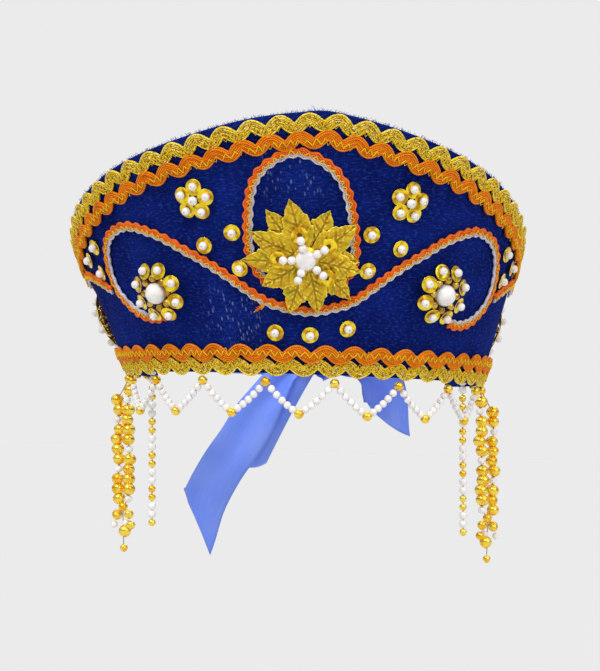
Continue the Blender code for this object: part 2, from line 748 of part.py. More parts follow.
for side, sign, stop in (("left", -1, math.pi + knot_turn - knot_half), ("right", 1, math.pi - knot_turn - knot_half)):
    centres, sides, outs = [], [], []
    sewn = HALF_WRAP - RIBBON_OVERLAP
    for azimuth in np.linspace(sewn, stop, 15):
        free = min(max((azimuth - HALF_WRAP) / (2 * RIBBON_OVERLAP), 0.0), 1.0)
        free = free * free * (3 - 2 * free)
        point, right, up, out = wall_frame(sign * azimuth, RIBBON_MIDDLE)
        sewn_point = point - out * (WALL + 2 * GAP + RIBBON_THICKNESS / 2)
        flat_out = Vector((math.sin(sign * azimuth), -math.cos(azimuth), 0))
        back_point = flat_out * BACK_RADIUS + Vector((0, 0, RIBBON_MIDDLE))
        centres.append(sewn_point.lerp(back_point, free))
        sides.append(up.lerp(Vector((0, 0, 1)), free).normalized())
        outs.append(out.lerp(flat_out, free).normalized())
    strip(f"ribbon_band_{side}", centres, sides, outs, [RIBBON_WIDTH / 2] * len(centres))

knot = Vector((KNOT_SIDE, BACK_RADIUS * math.cos(knot_turn) + KNOT_DEPTH / 4, RIBBON_MIDDLE))
rings = []
for high, wide in ((-0.5, 0.72), (-0.3, 1.0), (0.3, 1.0), (0.5, 0.72)):
    rings.append([
        knot + Vector((
            KNOT_WIDTH / 2 * wide * math.cos(math.pi * (k + 0.5) / 4) / math.cos(math.pi / 8),
            KNOT_DEPTH / 2 * wide * math.sin(math.pi * (k + 0.5) / 4) / math.cos(math.pi / 8),
            KNOT_TALL * high,
        ))
        for k in range(8)
    ])
add_object("bow_knot", *tube(rings), "satin")


def bow_loop(name, sign, fall, fold, offset):
    """Teardrop loop of ribbon that leaves the knot and comes back to it."""
    heading = Vector((sign * math.cos(fall), 0, -math.sin(fall)))
    back = Vector((0, 1, 0))
    across = Vector((math.cos(fold), 0, math.sin(fold)))
    centres, outs, halves = [], [], []
    for angle in np.linspace(LOOP_START, 2 * math.pi - LOOP_START, LOOP_STATIONS):
        along = LOOP_LENGTH * (1 - math.cos(angle)) / 2
        open_by = LOOP_OPENING * math.sin(angle) * math.sin(angle / 2)
        centres.append(knot + Vector(offset) + heading * along + back * open_by)
        halves.append(RIBBON_WIDTH / 2 * (LOOP_GATHER + (1 - LOOP_GATHER) * math.sin(angle / 2) ** 2))
    for i in range(LOOP_STATIONS):
        step = centres[min(i + 1, LOOP_STATIONS - 1)] - centres[max(i - 1, 0)]
        outs.append(step.cross(across).normalized())
    strip(name, centres, [across] * LOOP_STATIONS, outs, halves)


LOOP_START = math.radians(28)
LOOP_STATIONS = 12
bow_loop("bow_loop_left", -1, *LEFT_LOOP)
bow_loop("bow_loop_right", 1, *RIGHT_LOOP)


def tail(name, rows, length, cut):
    """Free end of the ribbon, its width turned to face the back."""
    centres = [knot + Vector(row) for row in spline(np.array(rows) * length, TAIL_STATIONS)]
    sides, outs, halves = [], [], []
    for i, centre in enumerate(centres):
        step = (centres[min(i + 1, TAIL_STATIONS - 1)] - centres[max(i - 1, 0)]).normalized()
        side = step.cross(Vector((0, 1, 0))).normalized()
        sides.append(side)
        outs.append(side.cross(step).normalized())
        halves.append(RIBBON_WIDTH / 2 * min(TAIL_GATHER + TAIL_SPREAD * i, 1.0))
    strip(name, centres, sides, outs, halves, cut)


TAIL_STATIONS = 10
tail("ribbon_tail_left", LEFT_TAIL_PATH, LEFT_TAIL, LEFT_TAIL_CUT)
tail("ribbon_tail_right", RIGHT_TAIL_PATH, RIGHT_TAIL, RIGHT_TAIL_CUT)
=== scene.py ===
import math
import bmesh
import bpy
import numpy as np
from mathutils import Matrix, Vector


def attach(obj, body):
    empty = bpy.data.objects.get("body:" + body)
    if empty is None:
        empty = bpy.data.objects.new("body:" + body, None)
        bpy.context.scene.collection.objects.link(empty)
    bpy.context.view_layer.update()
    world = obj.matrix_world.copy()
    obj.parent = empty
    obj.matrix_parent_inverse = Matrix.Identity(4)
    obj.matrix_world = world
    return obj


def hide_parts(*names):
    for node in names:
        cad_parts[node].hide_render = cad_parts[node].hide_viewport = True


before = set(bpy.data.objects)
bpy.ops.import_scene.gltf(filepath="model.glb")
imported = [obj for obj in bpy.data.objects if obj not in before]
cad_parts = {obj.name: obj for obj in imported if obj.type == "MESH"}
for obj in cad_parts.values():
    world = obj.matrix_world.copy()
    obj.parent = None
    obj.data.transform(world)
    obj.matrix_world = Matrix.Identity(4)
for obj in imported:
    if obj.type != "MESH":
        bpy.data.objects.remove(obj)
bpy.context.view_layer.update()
RANDOM = np.random.default_rng(7)

# Crown panel, as in the solid model; lengths in metres, angles in radians
BASE_RADIUS = 0.090
FLARE = math.radians(20)
HALF_WRAP = math.radians(120)
FRONT_HEIGHT = 0.118
WALL = 0.0025
GAP = 0.0003
LEAN = 0.10
SKEW = 0.03
# Columns: share of the half wrap, share of the front height on the -X side and on the +X side
TOP_EDGE = (
    (0.000, 1.000, 1.000), (0.045, 0.990, 1.008), (0.100, 0.970, 0.988), (0.200, 0.921, 0.938),
    (0.350, 0.839, 0.850),
    (0.500, 0.738, 0.741), (0.600, 0.664, 0.664), (0.750, 0.560, 0.560), (1.000, 0.475, 0.475),
)

# Radius at which distances round the crown are measured
MEAN_RADIUS = 1.2 * BASE_RADIUS

# Rickrack trims; the woven trims are a little wider than their solids, so that two in a pair overlap
RICK_PITCH = 0.0133
RICK_WIDTH = 0.0052
RICK_SWING = 0.0016
RICK_THICKNESS = 0.0016
RICK_CORDS = 6
WOVEN_WIDTH = 0.0058
WOVEN_SWING = 0.00175
TOP_DRAW = 0.0009
GOLD_LAG = -0.7
ORANGE_LAG = -1.4
BASE_DRAW = 0.0011
BASE_LAG = 1.7
BASE_RICK_SHARE = 0.92
EDGE_MARGIN = 0.0006
BASE_OVERHANG = 0.0010
TRIM_END = 0.0015
RICK_TALL = 2 * RICK_SWING + RICK_WIDTH
BASE_RICK_TALL = BASE_RICK_SHARE * RICK_TALL
TOP_TRIM_TALL = EDGE_MARGIN + 2 * RICK_TALL + GAP

# Two-coloured braid; columns: share of the half wrap, share of the front height
BRAID_WIDTH = 0.0042
BRAID_THICKNESS = 0.0018
BRAID_SWING = 0.00055
BRAID_PITCH = 0.0052
ARCH_CROWN = 1 - (TOP_TRIM_TALL + GAP + BRAID_WIDTH / 2) * math.cos(FLARE) / FRONT_HEIGHT
# Columns: share of the half wrap on the -X side and on the +X side, share of the front height
ARCH = (
    (0.0863, 0.0752, 0.365), (0.1073, 0.0961, 0.430), (0.1111, 0.0999, 0.520),
    (0.0959, 0.0847, 0.690), (0.0643, 0.0533, 0.940 * ARCH_CROWN),
)
ARCH_TOP = (-0.0056, ARCH_CROWN)
# The sewn arch reaches up into a notch of the orange trim
ARCH_STRETCH = 0.018
FRAYED_PLACE = (-0.098, 0.277)
SCROLL = (
    (0.000, 0.252), (0.070, 0.275), (0.108, 0.305), (0.155, 0.368), (0.205, 0.435),
    (0.255, 0.492), (0.302, 0.545), (0.362, 0.589), (0.402, 0.594), (0.446, 0.568),
    (0.475, 0.523), (0.492, 0.462), (0.500, 0.398), (0.492, 0.335), (0.464, 0.278),
    (0.427, 0.240), (0.388, 0.226), (0.354, 0.234),
)
SIDE_BRANCH = (
    (0.524, 0.350), (0.568, 0.385), (0.620, 0.414), (0.675, 0.428), (0.730, 0.398),
)

# Cup sequins and pearls
SEQUIN_RADIUS = 0.0038
SEQUIN_RISE = 0.0010
PEARL_RADIUS = 0.0020
UPPER_SEQUINS = ((0.137, 0.555), (0.200, 0.507), (0.132, 0.417))
UPPER_SHIFT = -0.0045
LOWER_SEQUINS = ((-0.078, 0.167), (0.001, 0.162), (0.087, 0.190))
SIDE_SEQUINS = ((0.525, 0.531), (0.583, 0.484), (0.537, 0.426))

# Flowers
FIVE_PLACE = (0.205, 0.683)
FIVE_RING = 0.0060
FIVE_PEARL = 0.00225
FIVE_TURN = math.radians(85)
EIGHT_PLACES = ((-0.341, 0.336), (0.309, 0.347))
SIDE_PLACE = (0.885, 0.262)
EIGHT_RING = 0.0113
EIGHT_PEARL = 0.0050
EIGHT_TILT = math.radians(24)
EIGHT_RISE = BRAID_THICKNESS + 2 * GAP + SEQUIN_RADIUS * math.sin(EIGHT_TILT)

# Rosette of foil leaves; columns of the leaves: direction in degrees, share of the reach
ROSETTE = (0.0, 0.460)
LEAF_REACH = 0.0283
LEAF_ROOT = 0.0030
LEAF_HALF_WIDTH = 0.0066
LEAF_THICKNESS = 0.0003
LEAF_RIDGE = 0.0008
LEAF_LIFT = 0.0015
CABOCHON_RADIUS = 0.0049
UPPER_LEAVES = ((33, 1.02), (100.5, 1.045), (154, 0.97), (216, 0.88), (284, 0.93), (349, 0.92))
LOWER_LEAVES = ((1, 0.87), (61, 0.92), (126, 1.00), (184, 1.05), (252, 1.00), (321, 1.00))
LOWER_LEVEL = BRAID_THICKNESS + 2 * GAP + LEAF_THICKNESS
UPPER_LEVEL = LOWER_LEVEL + LEAF_RIDGE + GAP + LEAF_THICKNESS
SPOKE_LEVEL = UPPER_LEVEL + LEAF_RIDGE + 2 * GAP
SPOKE_RING = 0.0080
SPOKE_SEQUIN = 0.0122
SPOKES = ((100, 1), (34, 1), (-42, 1), (-113, 0), (178, 1))

# Forehead net and temple chains
NET_SWAGS = 7
NET_STEP = math.radians(21)
NET_TURN = math.radians(-3.5)
NET_DROP = 0.0150
NET_BEAD = 0.0023
NET_PEARLS = 5
NET_RADIUS = BASE_RADIUS - WALL + GAP + NET_BEAD
NET_TOP = -(BASE_OVERHANG + GAP + NET_BEAD)
CHAIN_AZIMUTH = math.radians(84)
CHAIN_DROP = 0.090
CHAIN_BEAD = 0.0060
CHAIN_TURN = math.radians(36)
CHAIN_STANDOFF = 0.0032
INNER_AZIMUTH = math.radians(65)
INNER_DROP = 0.079
INNER_BEAD = 0.0040
INNER_SEWN = 0.003
HANG_LEAN = 0.033

# Satin ribbon, tied at the back
RIBBON_WIDTH = 0.025
RIBBON_THICKNESS = 0.0005
RIBBON_RISE = 0.0050
RIBBON_OVERLAP = math.radians(6)
BAND_STATIONS = 60
LOOP_STATIONS = 72
TAIL_STATIONS = 70
BACK_RADIUS = 0.089
KNOT_SIDE = 0.006
KNOT_WIDTH = 0.016
KNOT_DEPTH = 0.012
KNOT_TALL = 0.018
LOOP_LENGTH = 0.066
LOOP_OPENING = 0.0055
LOOP_START = math.radians(28)
# Share of the ribbon's width kept at the knot, and how far a tail spreads along its length
LEFT_LOOP_GATHER = 0.75
RIGHT_LOOP_GATHER = 0.42
LEFT_TAIL_GATHER, LEFT_TAIL_SPREAD = 0.55, 0.15
RIGHT_TAIL_GATHER, RIGHT_TAIL_SPREAD = 0.40, 0.09
# How far a loop's front leg fans out at the knot, and how far a tail's short corner is rounded
LEFT_LOOP_FAN = 0.012
RIGHT_LOOP_FAN = 0.0
TAIL_ROUND = 0.018
# Fall of each loop below level, slope of its folded end, and its start from the knot's middle
LEFT_LOOP = (math.radians(67), math.radians(14), (-0.009, 0.006, -0.004))
RIGHT_LOOP = (math.radians(-4), math.radians(94), (0.005, 0.003, 0.003))
LEFT_TAIL = 0.100
LEFT_TAIL_CUT = 0.014
LEFT_TAIL_BOW = -0.001
RIGHT_TAIL = 0.060
RIGHT_TAIL_CUT = 0.011
RIGHT_TAIL_BOW = 0.003
LOOP_WAVE = 0.0024
TAIL_WAVE = 0.0024
# Columns: shares of the tail's length to the side, to the back and upwards from the knot
LEFT_TAIL_PATH = (
    (-0.120, -0.058, -0.080), (-0.172, -0.058, -0.139), (-0.290, -0.058, -0.342), (-0.375, -0.058, -0.495),
    (-0.474, -0.050, -0.648), (-0.560, -0.040, -0.820), (-0.604, -0.040, -0.966),
)
RIGHT_TAIL_PATH = (
    (0.073, 0.107, -0.180), (0.267, 0.195, -0.060), (0.467, 0.232, -0.050),
    (0.633, 0.235, -0.150), (0.715, 0.235, -0.335), (0.742, 0.235, -0.573),
)


# Camera at the photograph's viewing angle; the picture is 600 by 671 pixels
PICTURE_WIDTH = 600
PICTURE_HEIGHT = 671
FOCAL_PIXELS = 2136
LEVEL_SIGHT = (303.0, 441.7)
CAMERA_DISTANCE = 1.100
CAMERA_AZIMUTH = math.radians(-2)
CAMERA_HEIGHT = -0.0315
CAMERA_ROLL = math.radians(1.86)


def place_camera():
    """Stands the camera so that a level line of sight meets the picture at LEVEL_SIGHT."""
    camera = bpy.data.cameras.new("camera")
    camera.sensor_width = 36.0
    camera.lens = FOCAL_PIXELS * camera.sensor_width / PICTURE_HEIGHT
    camera.clip_start, camera.clip_end = 0.05, 100.0
    level = Vector((-math.sin(CAMERA_AZIMUTH), math.cos(CAMERA_AZIMUTH), 0))
    flat_right = level.cross(Vector((0, 0, 1)))
    right = flat_right * math.cos(CAMERA_ROLL) + Vector((0, 0, math.sin(CAMERA_ROLL)))
    up = right.cross(level)
    across, above = LEVEL_SIGHT[0] - PICTURE_WIDTH / 2, LEVEL_SIGHT[1] - PICTURE_HEIGHT / 2
    sight = (level * FOCAL_PIXELS + up * above - right * across).normalized()
    right = sight.cross(up).normalized()
    up = right.cross(sight)
    where = -level * CAMERA_DISTANCE + Vector((0, 0, CAMERA_HEIGHT))
    rig = bpy.data.objects.new("camera", camera)
    bpy.context.scene.collection.objects.link(rig)
    rig.matrix_world = Matrix((
        (right.x, up.x, -sight.x, where.x),
        (right.y, up.y, -sight.y, where.y),
        (right.z, up.z, -sight.z, where.z),
        (0, 0, 0, 1),
    ))
    bpy.context.scene.camera = rig


place_camera()


# Node helpers
def add(tree, kind, inputs=None, **settings):
    """A node with its settings, and its inputs either linked or set."""
    made = tree.nodes.new(kind)
    for name, value in settings.items():
        setattr(made, name, value)
    for key, value in (inputs or {}).items():
        if isinstance(value, bpy.types.NodeSocket):
            tree.links.new(value, made.inputs[key])
        else:
            made.inputs[key].default_value = value
    return made


def maths(tree, operation, *values):
    return add(tree, "ShaderNodeMath", dict(enumerate(values)), operation=operation).outputs[0]


def times(tree, first, second):
    return maths(tree, "MULTIPLY", first, second)


def rest_of(tree, value):
    return maths(tree, "SUBTRACT", 1.0, value)


def stripes(tree, places):
    """Rounded ridges, one to each unit of the places."""
    return maths(tree, "ABSOLUTE", maths(tree, "SINE", times(tree, places, math.pi)))


def vectors(tree, operation, first, second):
    key = 3 if operation == "SCALE" else 1
    return add(tree, "ShaderNodeVectorMath", {0: first, key: second}, operation=operation).outputs[0]


def cloudy(tree, vector, scale, detail, output="Fac"):
    return add(tree, "ShaderNodeTexNoise",
               {"Vector": vector, "Scale": scale, "Detail": detail}).outputs[output]


def lay_of(tree):
    """Distances along and across a surface, kept with its points."""
    return add(tree, "ShaderNodeAttribute", attribute_name="lay").outputs["Vector"]


def place_of(tree):
    return add(tree, "ShaderNodeTexCoord").outputs["Object"]


def mix(tree, share, first, second):
    """Colours mixed by a share; each is a socket, a linear colour or an sRGB one from 0 to 255."""
    first, second = (colour(*c) if isinstance(c, tuple) and len(c) == 3 else c for c in (first, second))
    return add(tree, "ShaderNodeMix", {0: share, 6: first, 7: second}, data_type="RGBA").outputs[2]


def ramp(tree, value, low, high):
    """0 below low, 1 above high, smooth between them."""
    return add(tree, "ShaderNodeMapRange", {"Value": value, "From Min": low, "From Max": high},
               interpolation_type="SMOOTHSTEP").outputs[0]


def colour(red, green, blue):
    """Linear colour of an sRGB colour given from 0 to 255."""
    parts = (red, green, blue)
    return tuple(((c / 255 + 0.055) / 1.055) ** 2.4 if c > 10 else c / 255 / 12.92 for c in parts) + (1.0,)


def group(name, inputs, outputs):
    """Empty node group with its sockets; the inputs give each default."""
    tree = bpy.data.node_groups.new(name, "ShaderNodeTree")
    for label, value in inputs.items():
        socket = tree.interface.new_socket(label, in_out="INPUT", socket_type="NodeSocketFloat")
        socket.default_value = value
    for label, kind in outputs.items():
        tree.interface.new_socket(label, in_out="OUTPUT", socket_type="NodeSocket" + kind)
    return tree, tree.nodes.new("NodeGroupInput").outputs, tree.nodes.new("NodeGroupOutput").inputs


def use(tree, shared, **values):
    """Places a shared group with its own values and returns its outputs."""
    inputs = {key.replace("_", " ").capitalize(): value for key, value in values.items()}
    return add(tree, "ShaderNodeGroup", inputs, node_tree=shared).outputs


# Shared effects
def weave_group():
    """Plain weave that follows a piece's lay coordinates."""
    tree, given, out = group("plain weave", {"Threads": 1500.0, "Slub": 0.3},
                             {"Height": "Float", "Slub": "Float"})
    lay = lay_of(tree)
    scaled = vectors(tree, "SCALE", lay, given["Threads"])
    wander = cloudy(tree, scaled, 0.15, 2.0, "Color")
    pushed = vectors(tree, "SCALE", wander, given["Slub"])
    moved = vectors(tree, "ADD", scaled, pushed)
    parts = add(tree, "ShaderNodeSeparateXYZ", {0: moved}).outputs
    warp = stripes(tree, parts[0])
    weft = stripes(tree, parts[1])
    cell = maths(tree, "ADD", maths(tree, "FLOOR", parts[0]), maths(tree, "FLOOR", parts[1]))
    turn = maths(tree, "FLOORED_MODULO", cell, 2.0)
    over = times(tree, warp, turn)
    under = times(tree, weft, rest_of(tree, turn))
    tree.links.new(maths(tree, "ADD", over, under), out["Height"])
    long_way = vectors(tree, "MULTIPLY", scaled, (1.0, 0.06, 1.0))
    slub = cloudy(tree, long_way, 0.55, 3.0)
    tree.links.new(slub, out["Slub"])
    return tree


def twist_group():
    """Slanting strands of a twisted yarn, along its lay coordinates."""
    tree, given, out = group("twisted yarn", {"Turns": 900.0, "Fray": 0.5},
                             {"Height": "Float", "Fleck": "Float"})
    lay = lay_of(tree)
    parts = add(tree, "ShaderNodeSeparateXYZ", {0: lay}).outputs
    fine = vectors(tree, "SCALE", lay, given["Turns"])
    noise = cloudy(tree, fine, 0.9, 2.0)
    along = times(tree, parts[0], given["Turns"])
    slant = maths(tree, "ADD", along, parts[1])
    frayed = maths(tree, "ADD", slant, times(tree, noise, given["Fray"]))
    strand = stripes(tree, frayed)
    tree.links.new(strand, out["Height"])
    tree.links.new(noise, out["Fleck"])
    return tree


def drift_group():
    """Slow and fine unevenness of a finish over the object."""
    tree, given, out = group("uneven finish", {"Size": 0.006, "Grain": 0.0005},
                             {"Slow": "Float", "Fine": "Float"})
    spot = place_of(tree)
    for label, socket in (("Size", "Slow"), ("Grain", "Fine")):
        scale = maths(tree, "DIVIDE", 1.0, given[label])
        noise = add(tree, "ShaderNodeTexNoise", {"Vector": spot, "Scale": scale, "Detail": 3.0})
        tree.links.new(noise.outputs["Fac"], out[socket])
    return tree


def edge_light_hollow_shade_group():
    """Mask of raised edges and of hollows, broken up by a fine grain; it places painted highlight on edges and
    painted shade in hollows.
    """
    tree, given, out = group("painted edge light and hollow shade", {"Reach": 0.04, "Grain": 0.0006},
                             {"Edge": "Float", "Hollow": "Float"})
    point = add(tree, "ShaderNodeNewGeometry").outputs["Pointiness"]
    spot = place_of(tree)
    scale = maths(tree, "DIVIDE", 1.0, given["Grain"])
    noise = cloudy(tree, spot, scale, 2.0)
    shaken = maths(tree, "ADD", point, times(tree, maths(tree, "SUBTRACT", noise, 0.5), 0.02))
    high = maths(tree, "ADD", 0.5, given["Reach"])
    low = maths(tree, "SUBTRACT", 0.5, given["Reach"])
    tree.links.new(ramp(tree, shaken, 0.505, high), out["Edge"])
    tree.links.new(rest_of(tree, ramp(tree, shaken, low, 0.495)), out["Hollow"])
    return tree


WEAVE, TWIST, DRIFT, EDGE_LIGHT_HOLLOW_SHADE = weave_group(), twist_group(), drift_group(), edge_light_hollow_shade_group()


def finish(name, base, height=None, depth=0.0002, rough=0.5, **sockets):
    """Material with a Principled shader. base, height and rough are values or functions of the tree."""
    made = bpy.data.materials.new(name)
    made.use_nodes = True
    tree = made.node_tree
    shader = tree.nodes["Principled BSDF"]
    for label, value in (("Base Color", base), ("Roughness", rough)):
        value = value(tree) if callable(value) else value
        if isinstance(value, bpy.types.NodeSocket):
            tree.links.new(value, shader.inputs[label])
        else:
            shader.inputs[label].default_value = value
    for label, value in sockets.items():
        shader.inputs[label.replace("_", " ")].default_value = value
    if height:
        bump = add(tree, "ShaderNodeBump", {"Height": height(tree), "Distance": depth, "Strength": 1.0})
        tree.links.new(bump.outputs[0], shader.inputs["Normal"])
    return made


# Places where pale threads show through the cloth: distance round the crown and height
THIN_SPOTS = ((-0.004, 0.094, 0.0), (-0.040, 0.026, 0.0))


def cloth_colour(tree):
    woven = use(tree, WEAVE, threads=1500.0, slub=0.35)
    uneven = use(tree, DRIFT, size=0.02, grain=0.0007)
    lay = lay_of(tree)
    base = mix(tree, ramp(tree, uneven["Slow"], 0.3, 0.7), (12, 28, 108), (19, 42, 140))
    rows = vectors(tree, "MULTIPLY", lay, (0.45, 1.0, 1.0))
    rib = cloudy(tree, rows, 1050.0, 2.0)
    base = mix(tree, times(tree, ramp(tree, rib, 0.52, 0.70), 0.55), base, (44, 80, 172))
    base = mix(tree, times(tree, ramp(tree, rib, 0.50, 0.30), 0.4), base, (4, 10, 62))
    base = mix(tree, times(tree, rest_of(tree, woven["Height"]), 0.4), base, (4, 10, 58))
    long_way = vectors(tree, "MULTIPLY", lay, (1.0, 0.42, 1.0))
    specks = add(tree, "ShaderNodeTexVoronoi", {"Vector": long_way, "Scale": 760.0}).outputs
    wear_and_painted_light = [add(tree, "ShaderNodeVectorMath", {0: lay, 1: spot},
                operation="DISTANCE").outputs["Value"] for spot in THIN_SPOTS]
    patch = maths(tree, "SUBTRACT", 0.022, maths(tree, "MINIMUM", *wear_and_painted_light))
    near = rest_of(tree, ramp(tree, specks["Distance"], 0.16, 0.42))
    chosen = add(tree, "ShaderNodeSeparateColor", {0: specks["Color"]}).outputs[0]
    seen = times(tree, near, ramp(tree, patch, 0.0, 0.016))
    seen = times(tree, seen, ramp(tree, chosen, 0.35, 0.85))
    return mix(tree, times(tree, seen, 0.6), base, (140, 158, 205))


def yarn(name, light, dark, **sockets):
    """Twisted yarn, darker between its strands."""
    def base(tree):
        twisted = use(tree, TWIST, turns=1100.0, fray=0.6)
        uneven = use(tree, DRIFT, size=0.004, grain=0.0004)
        tone = times(tree, twisted["Height"], ramp(tree, uneven["Slow"], 0.1, 0.6))
        return mix(tree, tone, dark, light)

    return finish(name, base, lambda tree: use(tree, TWIST, turns=1100.0, fray=0.6)["Height"], depth=0.0001,
                  **sockets)


def lurex(name, shares):
    """Tangled metallic thread: little loops, each its own tint, the palest near white as painted glints.
    Shares: where brown, tan and yellow end.
    """
    def loops(tree):
        spot = place_of(tree)
        return add(tree, "ShaderNodeTexVoronoi", {"Vector": spot, "Scale": 1900.0, "Randomness": 1.0}).outputs

    def base(tree):
        tint = add(tree, "ShaderNodeSeparateColor", {0: loops(tree)["Color"]}).outputs[0]
        shade = mix(tree, ramp(tree, tint, shares[0] - 0.05, shares[0] + 0.05), (150, 112, 20),
                    (214, 172, 40))
        shade = mix(tree, ramp(tree, tint, shares[1] - 0.05, shares[1] + 0.05), shade, (255, 222, 40))
        # Painted glints: loops past the last share turn near white
        shade = mix(tree, ramp(tree, tint, shares[2] - 0.03, shares[2] + 0.03), shade, (255, 246, 190))
        uneven = use(tree, DRIFT, size=0.003, grain=0.0005)
        return mix(tree, times(tree, ramp(tree, uneven["Slow"], 0.5, 0.8), 0.4), shade, (176, 130, 24))

    return finish(name, base, lambda tree: rest_of(tree, loops(tree)["Distance"]),
                  depth=0.0003, rough=0.45, Metallic=0.2, Specular_IOR_Level=0.3)


def foil_colour(tree):
    uneven = use(tree, DRIFT, size=0.004, grain=0.0009)
    wear_and_painted_light = use(tree, EDGE_LIGHT_HOLLOW_SHADE, reach=0.05, grain=0.0008)
    base = mix(tree, ramp(tree, uneven["Slow"], 0.3, 0.7), (200, 158, 26), (240, 200, 36))
    spot = place_of(tree)
    for seed, tint, share in ((0.0, (126, 150, 26), 0.5), (3.0, (236, 120, 20), 0.45)):
        patch = add(tree, "ShaderNodeTexNoise", {"Vector": spot, "Scale": 210.0, "W": seed},
                    noise_dimensions="4D")
        base = mix(tree, times(tree, ramp(tree, patch.outputs["Fac"], 0.58, 0.70), share), base, tint)
    # Painted shade: darker ochre in the embossed grooves, along the midrib and over each leaf's middle, read
    # from the lay's third value
    veins_and_painted_shade = add(tree, "ShaderNodeSeparateXYZ", {0: lay_of(tree)}).outputs[2]
    base = mix(tree, times(tree, veins_and_painted_shade, 0.62), base, (132, 100, 14))
    # Painted shade: darker colour in the hollows
    base = mix(tree, times(tree, wear_and_painted_light["Hollow"], 0.5), base, (130, 90, 8))
    # Painted highlight: pale yellow on the raised edges
    return mix(tree, wear_and_painted_light["Edge"], base, (255, 230, 80))


def gilt(name, light, dark, **sockets):
    """Gold plating, darker in its hollows as painted shade, and uneven in its polish."""
    def base(tree):
        uneven = use(tree, DRIFT, size=0.003, grain=0.0005)
        wear_and_painted_light = use(tree, EDGE_LIGHT_HOLLOW_SHADE, reach=0.08, grain=0.0007)
        tone = mix(tree, ramp(tree, uneven["Slow"], 0.40, 0.64), light, dark)
        # Painted shade: a darker gold in the hollows
        return mix(tree, times(tree, wear_and_painted_light["Hollow"], 0.6), tone, tuple(c * 0.55 for c in dark))

    def rough(tree):
        fine = use(tree, DRIFT, size=0.002, grain=0.0004)["Fine"]
        return add(tree, "ShaderNodeMapRange", {"Value": fine, "To Min": 0.10, "To Max": 0.30}).outputs[0]

    return finish(name, base, lambda tree: use(tree, DRIFT, size=0.002, grain=0.0006)["Slow"],
                  depth=0.00006, rough=rough, **sockets)


def pearl_colour(tree):
    uneven = use(tree, DRIFT, size=0.0030, grain=0.0007)
    wear_and_painted_light = use(tree, EDGE_LIGHT_HOLLOW_SHADE, reach=0.12, grain=0.0008)
    base = mix(tree, ramp(tree, uneven["Slow"], 0.3, 0.7), (250, 247, 243), (234, 228, 226))
    # Painted shade: brownish colour in the hollows, such as the dimples at the holes
    return mix(tree, times(tree, wear_and_painted_light["Hollow"], 0.6), base, (150, 124, 92))


def satin_colour(tree):
    woven = use(tree, WEAVE, threads=2600.0, slub=0.2)
    uneven = use(tree, DRIFT, size=0.03, grain=0.001)
    base = mix(tree, ramp(tree, uneven["Slow"], 0.3, 0.7), (112, 146, 255), (130, 160, 255))
    return mix(tree, times(tree, ramp(tree, woven["Slub"], 0.4, 0.8), 0.3), base, (150, 176, 255))


CLOTH = finish("royal blue crown cloth", cloth_colour,
               lambda tree: use(tree, WEAVE, threads=1500.0, slub=0.35)["Height"],
               depth=0.00025, rough=0.95, Specular_IOR_Level=0.04)
FUZZ = finish("loose blue fibre", lambda tree: mix(tree, use(tree, DRIFT, size=0.002, grain=0.001)["Slow"],
              (10, 22, 96), (60, 96, 200)), rough=0.9)
PALE_THREAD = finish("pale blue thread",
                     lambda tree: mix(tree, use(tree, DRIFT, size=0.002, grain=0.001)["Slow"],
                     (90, 160, 235), (170, 215, 250)), rough=0.7)
LUREX = lurex("gold lurex cord", (0.26, 0.46, 0.90))
LUREX_EDGE = lurex("gold lurex edge", (0.10, 0.22, 0.94))
ORANGE = yarn("orange rayon cord", (255, 156, 26), (216, 96, 4), rough=0.6, Specular_IOR_Level=0.12)
CORAL = yarn("coral rayon cord", (255, 134, 48), (236, 88, 20), rough=0.6, Specular_IOR_Level=0.12)
WHITE = yarn("lilac white cord", (246, 240, 246), (184, 174, 196), rough=0.6, Specular_IOR_Level=0.15)
YELLOW = yarn("yellow sewing thread", (255, 222, 44), (226, 172, 10), rough=0.5, Specular_IOR_Level=0.15)
# Painted shade: a dark brown knot that darkens the holes of the rosette's sequins
BROWN = yarn("brown knot as painted hole shade", (120, 78, 16), (70, 42, 6), rough=0.6, Specular_IOR_Level=0.1)
FOIL = finish("embossed gold foil", foil_colour,
              lambda tree: use(tree, DRIFT, size=0.0015, grain=0.0005)["Slow"],
              depth=0.0003, rough=0.34, Metallic=0.7)
SEQUIN = gilt("gilt sequin cup", (255, 226, 48), (196, 142, 8), Metallic=0.75)
GOLD = gilt("gilt bead", (255, 226, 92), (248, 184, 36), Metallic=0.8)
OLD_GOLD = gilt("old gold bead", (214, 176, 80), (150, 112, 36), Metallic=0.8)
PEARL = finish("white pearl", pearl_colour, lambda tree: use(tree, DRIFT, size=0.002, grain=0.0006)["Fine"],
               depth=0.00002, rough=0.25, Coat_Weight=0.4, Coat_Roughness=0.12)
STRING = yarn("beige bead thread", (214, 190, 150), (150, 120, 80), rough=0.7)
SATIN = finish("cornflower satin ribbon", satin_colour,
               lambda tree: use(tree, WEAVE, threads=2600.0, slub=0.2)["Height"],
               depth=0.00006, rough=0.42, Specular_IOR_Level=0.3)
FLOOR = finish("pale studio floor", lambda tree: mix(tree, use(tree, DRIFT, size=0.4, grain=0.02)["Slow"],
               (0.604, 0.604, 0.604, 1), (0.608, 0.608, 0.608, 1)), rough=0.95, Specular_IOR_Level=0.0)


# Shapes
def unit(vectors):
    return vectors / np.linalg.norm(vectors, axis=-1, keepdims=True)


def run_of(points):
    """Distance along a line at each of its points."""
    return np.concatenate([[0.0], np.cumsum(np.linalg.norm(np.diff(points, axis=0), axis=1))])


def along(points):
    """Direction of a line at each of its points."""
    return unit(np.gradient(points, axis=0))


